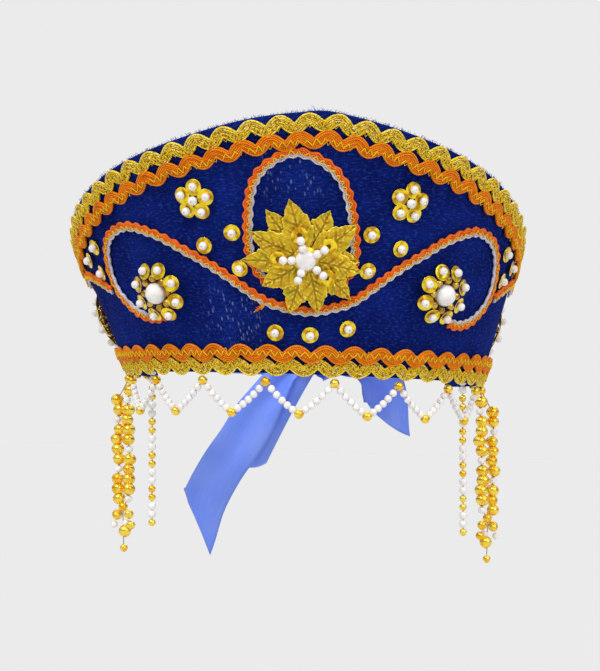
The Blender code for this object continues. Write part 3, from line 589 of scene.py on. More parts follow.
class Piece:
    """Surfaces gathered into one piece, each with a finish and its lay: distances along and across it."""

    def __init__(self, *finishes):
        self.finishes = finishes
        self.points, self.lays, self.faces, self.looks = [], [], [], []
        self.count = 0

    def grid(self, points, look=0, ring=False, lay=None):
        """Tube over rows and columns of points, capped at its ends or, as a ring, joined to itself."""
        rows, columns = points.shape[:2]
        index = self.count + np.arange(rows * columns).reshape(rows, columns)
        wide = np.concatenate([index, index[:, :1]], axis=1)
        tall = np.concatenate([wide, wide[:1]]) if ring else wide
        faces = np.stack([tall[:-1, :-1], tall[:-1, 1:], tall[1:, 1:], tall[1:, :-1]], -1).reshape(-1,
                                                                                                   4).tolist()
        if not ring:
            faces += [index[0, ::-1].tolist(), index[-1].tolist()]
        self.faces += faces
        self.looks += [look] * len(faces)
        self.points.append(points.reshape(-1, 3))
        if lay is None:
            lay = np.zeros((rows, columns, 3))
        self.lays.append(np.asarray(lay, float).reshape(-1, 3))
        self.count += rows * columns

    def sheet(self, front, back, lay):
        """Thin sheet with a front and a back."""
        self.grid(np.concatenate([front, back[:, ::-1]], axis=1),
                  lay=np.concatenate([lay, lay[:, ::-1]], axis=1))

    def make(self, name, replaced=()):
        mesh = bpy.data.meshes.new(name)
        mesh.from_pydata(np.concatenate(self.points).tolist(), [], self.faces)
        mesh.attributes.new("lay", "FLOAT_VECTOR", "POINT").data.foreach_set("vector",
                                                                             np.concatenate(self.lays).ravel())
        for look in self.finishes:
            mesh.materials.append(look)
        mesh.polygons.foreach_set("material_index", self.looks)
        mesh.polygons.foreach_set("use_smooth", [True] * len(self.faces))
        work = bmesh.new()
        work.from_mesh(mesh)
        bmesh.ops.recalc_face_normals(work, faces=work.faces)
        work.to_mesh(mesh)
        work.free()
        piece = bpy.data.objects.new(name, mesh)
        bpy.context.scene.collection.objects.link(piece)
        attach(piece, "root")
        if replaced:
            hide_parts(*replaced)
        return piece


def resampled(places, run, points):
    """Points at places along a line, from its points and the run at each."""
    return np.stack([np.interp(places, run, column) for column in points.T], axis=1)


def lay_from(along_it, across_it):
    return np.stack(np.broadcast_arrays(along_it, across_it, 0.0), -1)


def spline(rows, count):
    """Points evenly spread along a smooth curve through the rows."""
    rows = np.array(rows, float)
    ends = np.vstack([2 * rows[0] - rows[1], rows, 2 * rows[-1] - rows[-2]])
    fine = []
    for a, b, c, d in zip(ends, ends[1:], ends[2:], ends[3:]):
        for t in np.linspace(0, 1, 24, endpoint=False):
            bend = (2 * a - 5 * b + 4 * c - d) * t**2 + (3 * b - a - 3 * c + d) * t**3
            fine.append(0.5 * (2 * b + (c - a) * t + bend))
    fine = np.array(fine + [ends[-2]])
    run = run_of(fine)
    places = np.linspace(0, run[-1], count)
    return resampled(places, run, fine)


def wobble(places, waves, seed):
    """Smooth unevenness between -1 and 1 along places from 0 to 1."""
    knots = np.random.default_rng(seed).uniform(-1, 1, waves + 3)
    smooth = spline(np.stack([np.arange(waves + 3) - 1.0, knots], 1), 40 * waves)[:, 1]
    spots = (np.asarray(places) * (waves / (waves + 2)) + 1 / (waves + 2)) * 40 * waves
    return smooth[np.clip(spots, 0, 40 * waves - 1).astype(int)]


PROFILE = spline(TOP_EDGE, 400)


def top_height(azimuth):
    share = np.abs(azimuth) / HALF_WRAP
    left, right = (np.interp(share, PROFILE[:, 0], PROFILE[:, side]) for side in (1, 2))
    return FRONT_HEIGHT * np.where(np.asarray(azimuth) > 0, right, left)


def wall(azimuth, height):
    """Points on the crown's outer face, with their right, up and outward directions."""
    azimuth, height = np.broadcast_arrays(np.asarray(azimuth, float), np.asarray(height, float))
    sine, cosine = np.sin(azimuth), np.cos(azimuth)
    z = height * (1 + SKEW * sine)
    radius = BASE_RADIUS + z * math.tan(FLARE)
    point = np.stack([radius * sine - LEAN * z, -radius * cosine, z], -1)
    right = np.stack([cosine, sine, 0 * z], -1)
    rise = np.stack([math.tan(FLARE) * sine - LEAN, -math.tan(FLARE) * cosine, 1 + 0 * z], -1)
    out = unit(np.cross(right, rise))
    return point, right, np.cross(out, right), out


def seat(place, out=0.0, across=0.0, rise=0.0):
    """Frame on the wall at a place given in shares, moved across, up and out from it."""
    height = place[1] * FRONT_HEIGHT
    azimuth = place[0] * HALF_WRAP + across / (BASE_RADIUS + height * math.tan(FLARE))
    point, right, up, outward = wall(azimuth, height + rise * math.cos(FLARE))
    return point + outward * out, right, up, outward


def rings(points, sides, outs, wide, deep, count):
    """Rings of points round a line, with half widths along its side and outward directions."""
    turn = np.linspace(0, 2 * math.pi, count, endpoint=False)
    wide, deep = (np.broadcast_to(np.asarray(x, float), len(points))[:, None, None] for x in (wide, deep))
    return (points[:, None] + sides[:, None] * np.cos(turn)[None, :, None] * wide
            + outs[:, None] * np.sin(turn)[None, :, None] * deep)


def cord(piece, points, outs, wide, deep, look, count=6):
    """Cord laid along points, with its twist in its lay coordinates."""
    sides = unit(np.cross(outs, along(points)))
    run = run_of(points)
    lay = lay_from(run[:, None], np.linspace(0, 2, count, endpoint=False)[None])
    piece.grid(rings(points, sides, outs, wide, deep, count), look, lay=lay)


def lathe(piece, frame_at, profile, sides, look, ring=False, facets=0):
    """Turned form round a frame's outward axis; profile columns are radius and height."""
    centre, right, up, out = frame_at
    turn = np.linspace(0, 2 * math.pi, sides, endpoint=False)
    radius = np.array([row[0] for row in profile])[:, None] * np.ones(sides)
    if facets:
        flat = math.cos(math.pi / facets) / np.cos(turn % (2 * math.pi / facets) - math.pi / facets)
        for row, line in enumerate(profile):
            if len(line) > 2:
                radius[row] *= flat
    height = np.array([row[1] for row in profile])
    piece.grid(centre + right * (radius * np.cos(turn))[..., None] + up * (radius * np.sin(turn))[..., None]
               + (out * height[:, None])[:, None], look, ring=ring)


def basis(axis):
    """Right, up and axis directions round an axis."""
    axis = unit(np.asarray(axis, float))
    other = np.array([0.0, 0.0, 1.0]) if abs(axis[2]) < 0.9 else np.array([1.0, 0.0, 0.0])
    right = unit(np.cross(other, axis))
    return right, np.cross(axis, right), axis


def bead(piece, centre, axis, radius, look, hole=0.20, sides=20, rows=9, tall=1.0):
    """Round bead with a dimpled hole at both ends of its axis."""
    limit = math.acos(hole)
    turns = np.linspace(-limit, limit, rows)
    profile = [(0.7 * hole * radius, -0.8 * tall * radius)]
    profile += [(radius * math.cos(t), radius * tall * math.sin(t)) for t in turns]
    profile += [(0.7 * hole * radius, 0.8 * tall * radius)]
    lathe(piece, (np.asarray(centre), *basis(axis)), profile, sides, look)


# Crown cloth: one folded sheet over the stiff wall, with the puckers of its sewing
CLOTH_STEPS = 260
CLOTH_ROWS = 26
PUCKER = 0.0006


def crown_cloth():
    azimuths = np.linspace(-HALF_WRAP, HALF_WRAP, CLOTH_STEPS + 1)
    top = top_height(azimuths)
    half = WALL / 2
    rim = np.linspace(0, math.pi, 7)[1:-1]
    shares = np.linspace(0, 1, CLOTH_ROWS)
    heights, outs, laid = [], [], []
    for share in shares:
        heights.append(half + (top - 2 * half) * share)
        outs.append(0 * top)
        laid.append(heights[-1])
    for turn in rim:
        heights.append(top - half + half * math.sin(turn))
        outs.append(0 * top - half + half * math.cos(turn))
        laid.append(top + half * turn)
    for share in shares[::-1]:
        heights.append(half + (top - 2 * half) * share)
        outs.append(0 * top - WALL)
        laid.append(2 * top - heights[-1])
    for turn in rim:
        heights.append(0 * top + half - half * math.sin(turn))
        outs.append(0 * top - half - half * math.cos(turn))
        laid.append(2 * top + half * turn)
    heights, outs, laid = (np.stack(x, 1) for x in (heights, outs, laid))
    spread = azimuths[:, None] * MEAN_RADIUS
    dips = (np.sin(spread * 210 + heights * 60) * np.sin(heights * 170 - spread * 35)
            + 0.6 * np.sin(spread * 390 - heights * 240 + 1.3))
    fade = np.clip(np.minimum(heights, top[:, None] - heights) / 0.012, 0, 1)
    outs = outs - PUCKER * np.clip(dips * 0.5 + 0.3, 0, 1) * fade * (outs > -half)
    for step, share in ((0, 0.35), (1, 0.8), (-1, 0.35), (-2, 0.8)):
        outs[step] = -half + (outs[step] + half) * share
    point, _, _, out = wall(azimuths[:, None], heights)
    panel = Piece(CLOTH)
    panel.grid(point + out * outs[..., None], lay=lay_from(spread, laid))
    panel.make("crown_cloth", ["crown_panel"])


crown_cloth()


# Trims
def trim_line(height_of, half, count):
    """Azimuths spread evenly by distance along a line round the crown."""
    fine = np.linspace(-half, half, 1200)
    run = run_of(wall(fine, height_of(fine))[0])
    return np.interp(np.linspace(0, run[-1], count), run, fine), run[-1]


def below_top(distance):
    def height(azimuth):
        reach = 0.02 * (BASE_RADIUS + top_height(azimuth) * math.tan(FLARE))
        slope = (top_height(azimuth + 0.01) - top_height(azimuth - 0.01)) / reach
        return top_height(azimuth) - distance * math.cos(FLARE) * np.hypot(1, slope)
    return height


def above_base(distance):
    return lambda azimuth: distance * math.cos(FLARE) - BASE_OVERHANG + 0 * azimuth


STITCH_RADIUS = 0.00026
STITCH_STEP = 0.0018
STITCH_SWING = 0.0016


def stitches(piece, look, points, outs, offset, band, level, seed, swing=STITCH_SWING):
    """Zigzag machine stitch along a line; band gives the trim's middle and half width, level its top."""
    run = run_of(points)
    random = np.random.default_rng(seed)
    corners = np.cumsum(STITCH_STEP * random.uniform(0.65, 1.35, int(run[-1] / STITCH_STEP * 1.3)))
    corners = corners[corners < run[-1] - 0.001]
    swings = swing * random.uniform(0.7, 1.15, len(corners)) * np.where(np.arange(len(corners)) % 2, 1, -1)
    places = np.interp(np.arange(0, len(corners) - 0.99, 0.25), np.arange(len(corners)), corners)
    swings = np.interp(places, corners, swings) + offset + 0.0004 * wobble(places / run[-1], 30, seed + 1)
    centre = resampled(places, run, points)
    out = unit(resampled(places, run, outs))
    side = unit(np.cross(out, along(centre)))
    middle, half = (np.interp(places, run, values) for values in band)
    over = np.clip((half - np.abs(swings - middle)) / 0.0004, 0, 1)
    lift = GAP + (level - GAP) * over + STITCH_RADIUS * 0.9
    thread = centre + side * swings[:, None] + out * lift[:, None]
    cord(piece, thread, out, STITCH_RADIUS, STITCH_RADIUS, look, count=5)


def rickrack(name, height_of, half, waves, share, start, looks, stitch_at, seed, lag, raised):
    """Wavy flat braid of cords, sewn down with a zigzag stitch; looks are its inner and outer cords."""
    count = waves * 20 + 1
    azimuths = trim_line(height_of, half, count)[0]
    line, _, _, outs = wall(azimuths, height_of(azimuths))
    side = unit(np.cross(outs, along(line)))
    places = np.linspace(0, 1, count)
    phase = places * waves * 2 * math.pi + lag + 0.14 * wobble(places, waves, seed)
    wave = start * np.cos(phase)
    swing = share * WOVEN_SWING * (1 + 0.10 * wobble(places, waves, seed + 1)) * wave
    middle = line + side * swing[:, None]
    lean = unit(np.cross(outs, along(middle)))
    trim = Piece(*looks, YELLOW)
    spacing = share * WOVEN_WIDTH / RICK_CORDS
    for k in range(RICK_CORDS):
        offset = (k - (RICK_CORDS - 1) / 2) * spacing
        inner = np.clip(-np.sign(offset) * wave, 0, 1)
        at_line = middle + lean * (offset * (1 - 0.16 * inner))[:, None]
        rise = RICK_THICKNESS * share * (0.52 - 0.07 * (k % 2) + 0.08 * wobble(places, 3 * waves,
                                                                               seed + 10 + k))
        edge = 1 if k in (0, RICK_CORDS - 1) else 0
        cord(trim, at_line + outs * (GAP + raised + rise)[:, None], outs, 0.55 * spacing, rise, edge)
    band = (swing, 0 * swing + share * WOVEN_WIDTH / 2)
    stitches(trim, 2, line, outs, stitch_at, band, GAP + raised + share * RICK_THICKNESS, seed + 30)
    trim.make(name + "_cords", [name])


def rickrack_pair(share, *trims):
    """Rickracks with the same waves: name, line, looks, slot (not used), stitch height, seed, start, lag,
    raised.
    """
    half = HALF_WRAP - TRIM_END / BASE_RADIUS - share * RICK_WIDTH / 2 / BASE_RADIUS
    waves = round(trim_line(trims[0][1], half, 2)[1] / RICK_PITCH)
    for name, height_of, looks, slot, stitch_at, seed, start, lag, raised in trims:
        rickrack(name, height_of, half, waves, share, start, looks, stitch_at, seed, lag, raised)


GOLD_LOOKS, ORANGE_LOOKS = (LUREX, LUREX_EDGE), (ORANGE, ORANGE)
rickrack_pair(
    1.0,
    ("gold_rickrack_top", below_top(EDGE_MARGIN + RICK_TALL / 2), GOLD_LOOKS, "gold_trim", -0.0012, 100, 1,
     GOLD_LAG, 0.0),
    ("orange_rickrack_top", below_top(EDGE_MARGIN + RICK_TALL * 1.5 + GAP - TOP_DRAW), ORANGE_LOOKS,
     "orange_trim",
     -0.0013, 200, -1, ORANGE_LAG, 0.0005),
)
rickrack_pair(
    0.98,
    ("orange_rickrack_base", above_base(BASE_RICK_TALL * 1.5 + GAP), ORANGE_LOOKS, "orange_trim", 0.0004, 300,
     1, 0.0, 0.0006),
    ("gold_rickrack_base", above_base(BASE_RICK_TALL / 2 + BASE_DRAW), GOLD_LOOKS, "gold_trim", 0.0008, 400,
     1, BASE_LAG, 0.0),
)


# Columns: offset from the middle and half width as shares of the braid's width, finish
BRAID_CORDS = ((0.42, 0.115, 0), (0.21, 0.115, 0), (0.00, 0.105, 0), (-0.20, 0.105, 1), (-0.42, 0.115, 1))


def braid(name, rows, seed):
    """Flat scalloped braid, coral above and white below, joined by a zigzag stitch."""
    metric = [(share * HALF_WRAP * MEAN_RADIUS, high * FRONT_HEIGHT) for share, high in rows]
    length = run_of(spline(metric, 400))[-1]
    count = int(length / 0.0006) + 1
    laid = spline(metric, count)
    line, _, _, outs = wall(laid[:, 0] / MEAN_RADIUS, laid[:, 1])
    side = unit(np.cross(outs, along(line)))
    places = np.linspace(0, 1, count)
    waves = round(length / BRAID_PITCH)
    phase = places * waves * 2 * math.pi + 0.5 * wobble(places, waves, seed)
    trim = Piece(CORAL, WHITE, YELLOW)
    for k, (offset, half, look) in enumerate(BRAID_CORDS):
        bulge = BRAID_SWING * np.cos(phase + 0.5 * k) * (1.0 if look == 0 else 0.7)
        at_line = line + side * (offset * BRAID_WIDTH + bulge)[:, None]
        rise = BRAID_THICKNESS * (0.46 + 0.08 * wobble(places, 2 * waves,
                                                       seed + k)) * (1.0 if look == 0 else 0.85)
        cord(trim, at_line + outs * (GAP + rise)[:, None], outs, half * BRAID_WIDTH * 1.12, rise, look)
    band = (BRAID_SWING * np.cos(phase), 0 * phase + BRAID_WIDTH / 2)
    stitches(trim, 2, line, outs, -0.10 * BRAID_WIDTH, band, GAP + 0.92 * BRAID_THICKNESS, seed + 20,
             swing=0.0012)
    trim.make(name + "_cords", [name])


def mirrored(rows):
    return [(-share, high) for share, high in rows]


arch_left = [(-left, high * (1 + ARCH_STRETCH * high)) for left, right, high in ARCH]
arch_right = [(right, high * (1 + ARCH_STRETCH * high)) for left, right, high in ARCH[::-1]]
arch_top = (ARCH_TOP[0], ARCH_CROWN * (1 + ARCH_STRETCH))
braid("arch_braid", arch_left + [arch_top] + arch_right, 500)
braid("scroll_braid", mirrored(SCROLL[::-1]) + list(SCROLL[1:]), 520)
braid("side_braid_left", mirrored(SIDE_BRANCH[::-1]), 540)
braid("side_braid_right", SIDE_BRANCH, 560)


# Sequins, pearls and flowers
CUP_FACETS = 8
CUP_HOLE = 0.0006
CUP_SHEET = 0.00018
# Columns: radius, height; a third column marks a faceted ring
CUP = (
    (CUP_HOLE, 0.0),
    (0.42 * SEQUIN_RADIUS, 0.0, 1),
    (1.04 * SEQUIN_RADIUS, 0.85 * SEQUIN_RISE),
    (1.06 * SEQUIN_RADIUS, 0.85 * SEQUIN_RISE + 0.6 * CUP_SHEET),
    (1.03 * SEQUIN_RADIUS, 0.85 * SEQUIN_RISE + CUP_SHEET),
    (0.42 * SEQUIN_RADIUS, 0.30 * SEQUIN_RISE, 1),
    (CUP_HOLE, 0.25 * SEQUIN_RISE),
)


def cup(piece, frame_at, look=0):
    lathe(piece, frame_at, CUP, 3 * CUP_FACETS, look, ring=True, facets=CUP_FACETS)


def sewn_pearl(piece, centre, axis, radius, look, knot):
    """Pearl sewn through its hole, with the thread's knot in the hole."""
    bead(piece, centre, axis, radius, look)
    axis = unit(np.asarray(axis))
    bead(piece, centre + axis * radius * 0.84, axis, radius * 0.17, knot, sides=8, rows=5)


def turned(frame_at, angle, ring, tilt=0.0, rise=0.0):
    """Frame of a petal round a flower's centre, leaning outwards by the tilt."""
    centre, right, up, out = frame_at
    away = right * math.cos(angle) + up * math.sin(angle)
    around = up * math.cos(angle) - right * math.sin(angle)
    leaning = out * math.cos(tilt) + away * math.sin(tilt)
    return centre + away * ring + out * rise, around, np.cross(leaning, around), leaning


PEARL_SEAT = 0.30 * SEQUIN_RISE + 0.85 * PEARL_RADIUS


def single_sequin(name, place, seed):
    tilt = np.random.default_rng(seed).uniform(-0.10, 0.10, 2)
    centre, right, up, out = seat(place, GAP)
    leaning = unit(out + right * tilt[0] + up * tilt[1])
    frame_at = (centre + out * 0.0004, *basis(leaning))
    cups = Piece(SEQUIN, PEARL, YELLOW)
    cup(cups, frame_at)
    sewn_pearl(cups, centre + leaning * (PEARL_SEAT + 0.0004), leaning, PEARL_RADIUS, 1, 2)
    cups.make(name + "_cup", [name])


def five_petal(name, share):
    frame_at = seat((share, FIVE_PLACE[1]), GAP)
    flower = Piece(SEQUIN, PEARL, YELLOW)
    for k in range(5):
        angle = FIVE_TURN + 2 * math.pi * k / 5
        petal = turned(frame_at, angle, FIVE_RING, 0.16, 0.0006)
        cup(flower, petal)
        sewn_pearl(flower, petal[0] + petal[3] * PEARL_SEAT - petal[2] * 0.0004, petal[3], PEARL_RADIUS, 1, 2)
    centre, _, _, out = frame_at
    sewn_pearl(flower, centre + out * (FIVE_PEARL + 0.0008), out, FIVE_PEARL, 1, 2)
    flower.make(name + "_cups", [name])


EIGHT_BEAD = 0.0022
EIGHT_BEAD_RING = 0.0074


def eight_petal(name, place):
    frame_at = seat(place)
    centre, _, up, out = frame_at
    flower = Piece(SEQUIN, PEARL, OLD_GOLD, YELLOW)
    for k in range(8):
        angle = math.pi * (k + 0.5) / 4
        petal = turned(frame_at, angle, EIGHT_RING, EIGHT_TILT, EIGHT_RISE)
        cup(flower, petal)
        inward = np.cross(petal[1], petal[3])
        sewn_pearl(flower, petal[0] + petal[3] * PEARL_SEAT + inward * 0.0004, petal[3], PEARL_RADIUS, 1, 3)
        ring_at = turned(frame_at, angle + math.pi / 8, EIGHT_BEAD_RING, 0.0, EIGHT_RISE)
        bead(flower, ring_at[0] + out * 0.0006, ring_at[2], EIGHT_BEAD, 2)
    bead(flower, centre + out * (EIGHT_RISE + 0.22 * EIGHT_PEARL), up, 1.06 * EIGHT_PEARL, 1, hole=0.10,
         sides=32, rows=17)
    foot = ((0.0030, GAP), (0.0052, 0.5 * EIGHT_RISE), (0.0060, EIGHT_RISE), (0.0030, EIGHT_RISE + 0.0010))
    lathe(flower, frame_at, foot, 20, 2)
    flower.make(name + "_cups", [name])


for side, sign, place in (("left", -1, EIGHT_PLACES[0]), ("right", 1, EIGHT_PLACES[1])):
    for field, rows, shift in (("upper", UPPER_SEQUINS, UPPER_SHIFT), ("side", SIDE_SEQUINS, 0.0)):
        for index, (share, high) in enumerate(rows, 1):
            single_sequin(f"sequin_{field}_{side}_{index}", (sign * share + shift, high), 10 * index + sign)
    five_petal(f"five_petal_{side}", sign * FIVE_PLACE[0])
    eight_petal(f"eight_petal_{side}", place)
    eight_petal(f"side_flower_{side}", (sign * SIDE_PLACE[0], SIDE_PLACE[1]))
for index, place in enumerate(LOWER_SEQUINS, 1):
    single_sequin(f"sequin_lower_{index}", place, 90 + index)


# Rosette: columns of the leaf's outline are share of its length and share of its half width
LEAF_OUTLINE = ((0.00, 0.34), (0.12, 0.56), (0.28, 0.92), (0.42, 1.06), (0.45, 0.86), (0.56, 0.86),
                (0.64, 0.80), (0.67, 0.60), (0.78, 0.46), (0.85, 0.34), (0.88, 0.22), (1.00, 0.01))
LEAF_ROWS = 72
LEAF_COLUMNS = 33
LEAF_VEINS = 5


def leaf(piece, direction, reach, level, seed):
    """Embossed foil leaf: a notched blade with a midrib, side veins and a crumpled surface."""
    random = np.random.default_rng(seed)
    length = LEAF_REACH * reach - LEAF_ROOT
    t = np.linspace(0, 1, LEAF_ROWS)[:, None]
    s = np.linspace(-1, 1, LEAF_COLUMNS)[None, :]
    width = np.interp(t, *np.array(LEAF_OUTLINE).T)
    teeth = 0.05 * (1 - (t * 13 % 1)) * np.clip(3 * t, 0, 1) * np.clip(4 * (1 - t), 0, 1)
    half = LEAF_HALF_WIDTH * (width + teeth * np.abs(s))
    x, y = LEAF_ROOT + length * t + 0 * s, half * s
    x = x + 0.0010 * np.abs(s) * np.sin(math.pi * t)
    bend = random.uniform(-0.25, 0.25)
    angle = math.radians(direction) + bend * (t - 0.3) * 0.5
    across, rise = x * np.cos(angle) - y * np.sin(angle), x * np.sin(angle) + y * np.cos(angle)
    veins_and_painted_shade = (x - LEAF_ROOT - 0.85 * np.abs(y)) / length * LEAF_VEINS
    groove = np.exp(-((veins_and_painted_shade % 1 - 0.5) / 0.16) ** 2) * np.clip(1.5 * (1 - np.abs(s)), 0,
                                                               1) * np.clip(8 * np.abs(s), 0, 1)
    midrib = np.exp(-(y / 0.00045) ** 2)
    phases = random.uniform(0, 6.28, 6)
    crumple = (np.sin(x * 900 + phases[0]) * np.sin(y * 1300 + phases[1])
               + 0.6 * np.sin(x * 2100 + y * 900 + phases[2]) * np.sin(y * 2400 - x * 600 + phases[3]))
    dome = LEAF_RIDGE * (1 - s**2) * (0.5 + 0.5 * np.sin(math.pi * np.clip(t * 1.1, 0, 1)))
    curl = LEAF_LIFT * (x / LEAF_REACH) ** 2 * random.uniform(0.7, 1.3) + 0.0007 * s * random.uniform(-1,
                                                                                                      1) * t
    out = level + curl + dome - 0.00042 * groove - 0.00045 * midrib + 0.00019 * crumple * np.clip(4 * t, 0, 1)
    height = ROSETTE[1] * FRONT_HEIGHT
    azimuth = across / (BASE_RADIUS + height * math.tan(FLARE))
    point, _, _, outward = wall(azimuth, height + rise * math.cos(FLARE))
    top = point + outward * out[..., None]
    # Painted shade: the leaf's middle darker than its edges; with the grooves and midrib it goes into the
    # lay's third value, which darkens the foil's colour
    shade = 0.55 * (1 - np.abs(s) ** 1.5) * (0.7 + 0.3 * crumple) * np.sin(math.pi * np.clip(1.1 * t, 0, 1))
    lay = np.stack([x, y, np.clip(0.5 * groove + 0.8 * midrib + shade, 0, 1)], -1)
    piece.sheet(top, top - outward * LEAF_THICKNESS, lay)


for name, leaves, level, seed in (("leaf_layer_lower", LOWER_LEAVES, LOWER_LEVEL, 600),
                                  ("leaf_layer_upper", UPPER_LEAVES, UPPER_LEVEL, 620)):
    layer = Piece(FOIL)
    for index, (direction, reach) in enumerate(leaves):
        leaf(layer, direction, reach, level, seed + index)
    hub = ((0.0012, level - LEAF_THICKNESS), (0.0060, level - LEAF_THICKNESS),
           (0.0060, level + 0.5 * LEAF_RIDGE),
           (0.0012, level + 0.6 * LEAF_RIDGE))
    lathe(layer, seat(ROSETTE), hub, 24, 0)
    layer.make(name + "_foil", [name])

rosette_seat = seat(ROSETTE)
cabochon = Piece(PEARL, SEQUIN)
dome = [(0.2 * CABOCHON_RADIUS, 0.0), (0.97 * CABOCHON_RADIUS, 0.0)]
dome += [(CABOCHON_RADIUS * math.cos(t) ** 0.55, CABOCHON_RADIUS * (0.10 + 0.62 * math.sin(t)))
         for t in np.linspace(0, 1.5, 14)]
lathe(cabochon, (rosette_seat[0] + rosette_seat[3] * SPOKE_LEVEL, *rosette_seat[1:]), dome, 40, 0)
bezel = np.linspace(0, 2 * math.pi, 8, endpoint=False)
rim = [(CABOCHON_RADIUS * (1.0 + 0.05 * math.cos(t)), 0.0004 + 0.0003 * math.sin(t)) for t in bezel]
lathe(cabochon, (rosette_seat[0] + rosette_seat[3] * SPOKE_LEVEL, *rosette_seat[1:]), rim, 40, 1, ring=True)
cabochon.make("rosette_cabochon_stone", ["rosette_cabochon"])

for index, (direction, seated) in enumerate(SPOKES, 1):
    angle = math.radians(direction)
    spoke = Piece(PEARL, SEQUIN, BROWN)
    for radius, rise in ((SPOKE_RING - 0.90 * PEARL_RADIUS, 0.0002),
                         (SPOKE_RING + 0.95 * PEARL_RADIUS, 0.0006)):
        at_pearl = seat(ROSETTE, SPOKE_LEVEL + PEARL_RADIUS + rise, radius * math.cos(angle),
                        radius * math.sin(angle))
        away = at_pearl[1] * math.cos(angle) + at_pearl[2] * math.sin(angle)
        bead(spoke, at_pearl[0], away + at_pearl[3] * 0.9, PEARL_RADIUS, 0, hole=0.26)
    if seated:
        at_cup = seat(ROSETTE, SPOKE_LEVEL + 0.0009, SPOKE_SEQUIN * math.cos(angle),
                      SPOKE_SEQUIN * math.sin(angle))
        cup(spoke, at_cup, 1)
        # Painted shade: dark brown knot in the cup's hole
        bead(spoke, at_cup[0] + at_cup[3] * 0.0004, at_cup[3], 0.0010, 2, sides=12, rows=5, tall=0.4)
    spoke.make(f"rosette_spoke_{index}_pearls", [f"rosette_spoke_{index}"])


# Strings of beads
def thread(piece, points, radius, look, count=6):
    """Fine thread through points, with any side directions."""
    points = np.asarray(points, float)
    ahead = along(points)
    other = np.array([0.0, 1.0, 0.0]) if abs(ahead[0][1]) < 0.8 else np.array([1.0, 0.0, 0.0])
    outs = unit(np.cross(unit(np.cross(ahead, other)), ahead))
    cord(piece, points, outs, radius, radius, look, count)


def round_crown(radius, azimuth, z):
    """Point at an azimuth on a circle round the crown."""
    return np.array([radius * math.sin(azimuth), -radius * math.cos(azimuth), z])


# Forehead net: pearls on a thread between gold beads, each leg sagging a little
net = Piece(PEARL, GOLD, STRING)
corners = []
for k in range(2 * NET_SWAGS + 1):
    azimuth = NET_TURN + (k - NET_SWAGS) * NET_STEP / 2
    z = NET_TOP - (NET_DROP if k % 2 else 0)
    corners.append(round_crown(NET_RADIUS, azimuth, z))
string = [corners[0]]
for k, (before, corner) in enumerate(zip(corners, corners[1:])):
    step = corner - before
    free = np.linalg.norm(step) - 2 * NET_BEAD
    for n in range(NET_PEARLS):
        share = (NET_BEAD + free * (n + 0.5) / NET_PEARLS) / np.linalg.norm(step)
        centre = before + step * share - np.array([0, 0, 0.0012]) * math.sin(math.pi * share)
        bead(net, centre, step, free / NET_PEARLS * 0.51, 0, sides=18)
        string.append(centre)
    string.append(corner)
for k, corner in enumerate(corners):
    bead(net, corner, (0, 0, 1) if k % 2 == 0 else corners[min(k + 1, 2 * NET_SWAGS)] - corners[k - 1],
         NET_BEAD, 1, hole=0.24)
thread(net, string, 0.0002, 2)
net.make("forehead_net_beads", ["forehead_net"])


# Temple chains: two strands of beads twisted side by side, then a cluster and a last drop
CHAIN_STEP = 0.0050
CHAIN_PEARL = 0.0020
CHAIN_COUNT = 12
FALL = np.array([HANG_LEAN, 0, -1])
# Columns: share of the drop, side and depth in bead widths, radius in half beads, 1 for a pearl
CLUSTER = (
    (0.735, 0.00, 0.00, 0.80, 0), (0.775, -0.75, 0.10, 0.80, 0), (0.780, 0.62, 0.00, 0.90, 0),
    (0.785, 0.00, 0.55, 0.70, 0), (0.825, -0.10, -0.20, 0.66, 1), (0.835, -0.85, 0.00, 0.75, 0),
    (0.835, 0.55, 0.30, 0.60, 1), (0.870, -0.20, 0.00, 1.05, 0), (0.965, -0.10, 0.00, 0.66, 0),
)


def temple_chain(side, sign):
    start = round_crown(NET_RADIUS, sign * CHAIN_AZIMUTH, NET_TOP + NET_BEAD)
    wide = np.array([math.cos(CHAIN_TURN), sign * math.sin(CHAIN_TURN), 0]) * sign
    away = unit(np.array([start[0], start[1], 0]))
    chain = Piece(GOLD, PEARL, STRING)
    random = np.random.default_rng(700 + sign)
    spread = 0.60 + 0.06 * sign

    def spot(drop, across, deep):
        """Point on the chain at a distance below its start."""
        shift = CHAIN_STANDOFF * min(drop / (0.10 * CHAIN_DROP), 1.0)
        return start + away * (shift + deep * CHAIN_BEAD) + FALL * drop + wide * across * CHAIN_BEAD

    bead(chain, spot(0.0012, 0, 0), (0, 0, 1), NET_BEAD, 0)
    for strand, (shift, first) in enumerate(((-spread, 0.0070), (spread, 0.0120))):
        points = [spot(0.001, 0, 0)]
        for k in range(CHAIN_COUNT - strand):
            drop = first + CHAIN_STEP * k
            at_bead = spot(drop, shift + random.uniform(-0.06, 0.06), random.uniform(-0.12, 0.12))
            pearl = k % 5 == 1 + strand
            radius = CHAIN_PEARL if pearl else CHAIN_BEAD / 2 * random.uniform(1.04, 1.16)
            tip = (random.uniform(-0.25, 0.25), random.uniform(-0.25, 0.25), 1)
            bead(chain, at_bead, tip, radius, 1 if pearl else 0, tall=0.92)
            points.append(at_bead)
        points.append(spot(0.73 * CHAIN_DROP, 0, 0))
        thread(chain, points, 0.00025, 2)
    for share, across, deep, size, pearl in CLUSTER:
        bead(chain, spot(share * CHAIN_DROP, across, deep), (0.3 * across, 0.2, 1), size * CHAIN_BEAD / 2,
             pearl)
    thread(chain, [spot(0.70 * CHAIN_DROP, 0, 0), spot(0.80 * CHAIN_DROP, 0, 0),
                   spot(0.97 * CHAIN_DROP, -0.1, 0)], 0.00025, 2)
    chain.make(f"temple_chain_{side}_beads", [f"temple_chain_{side}"])


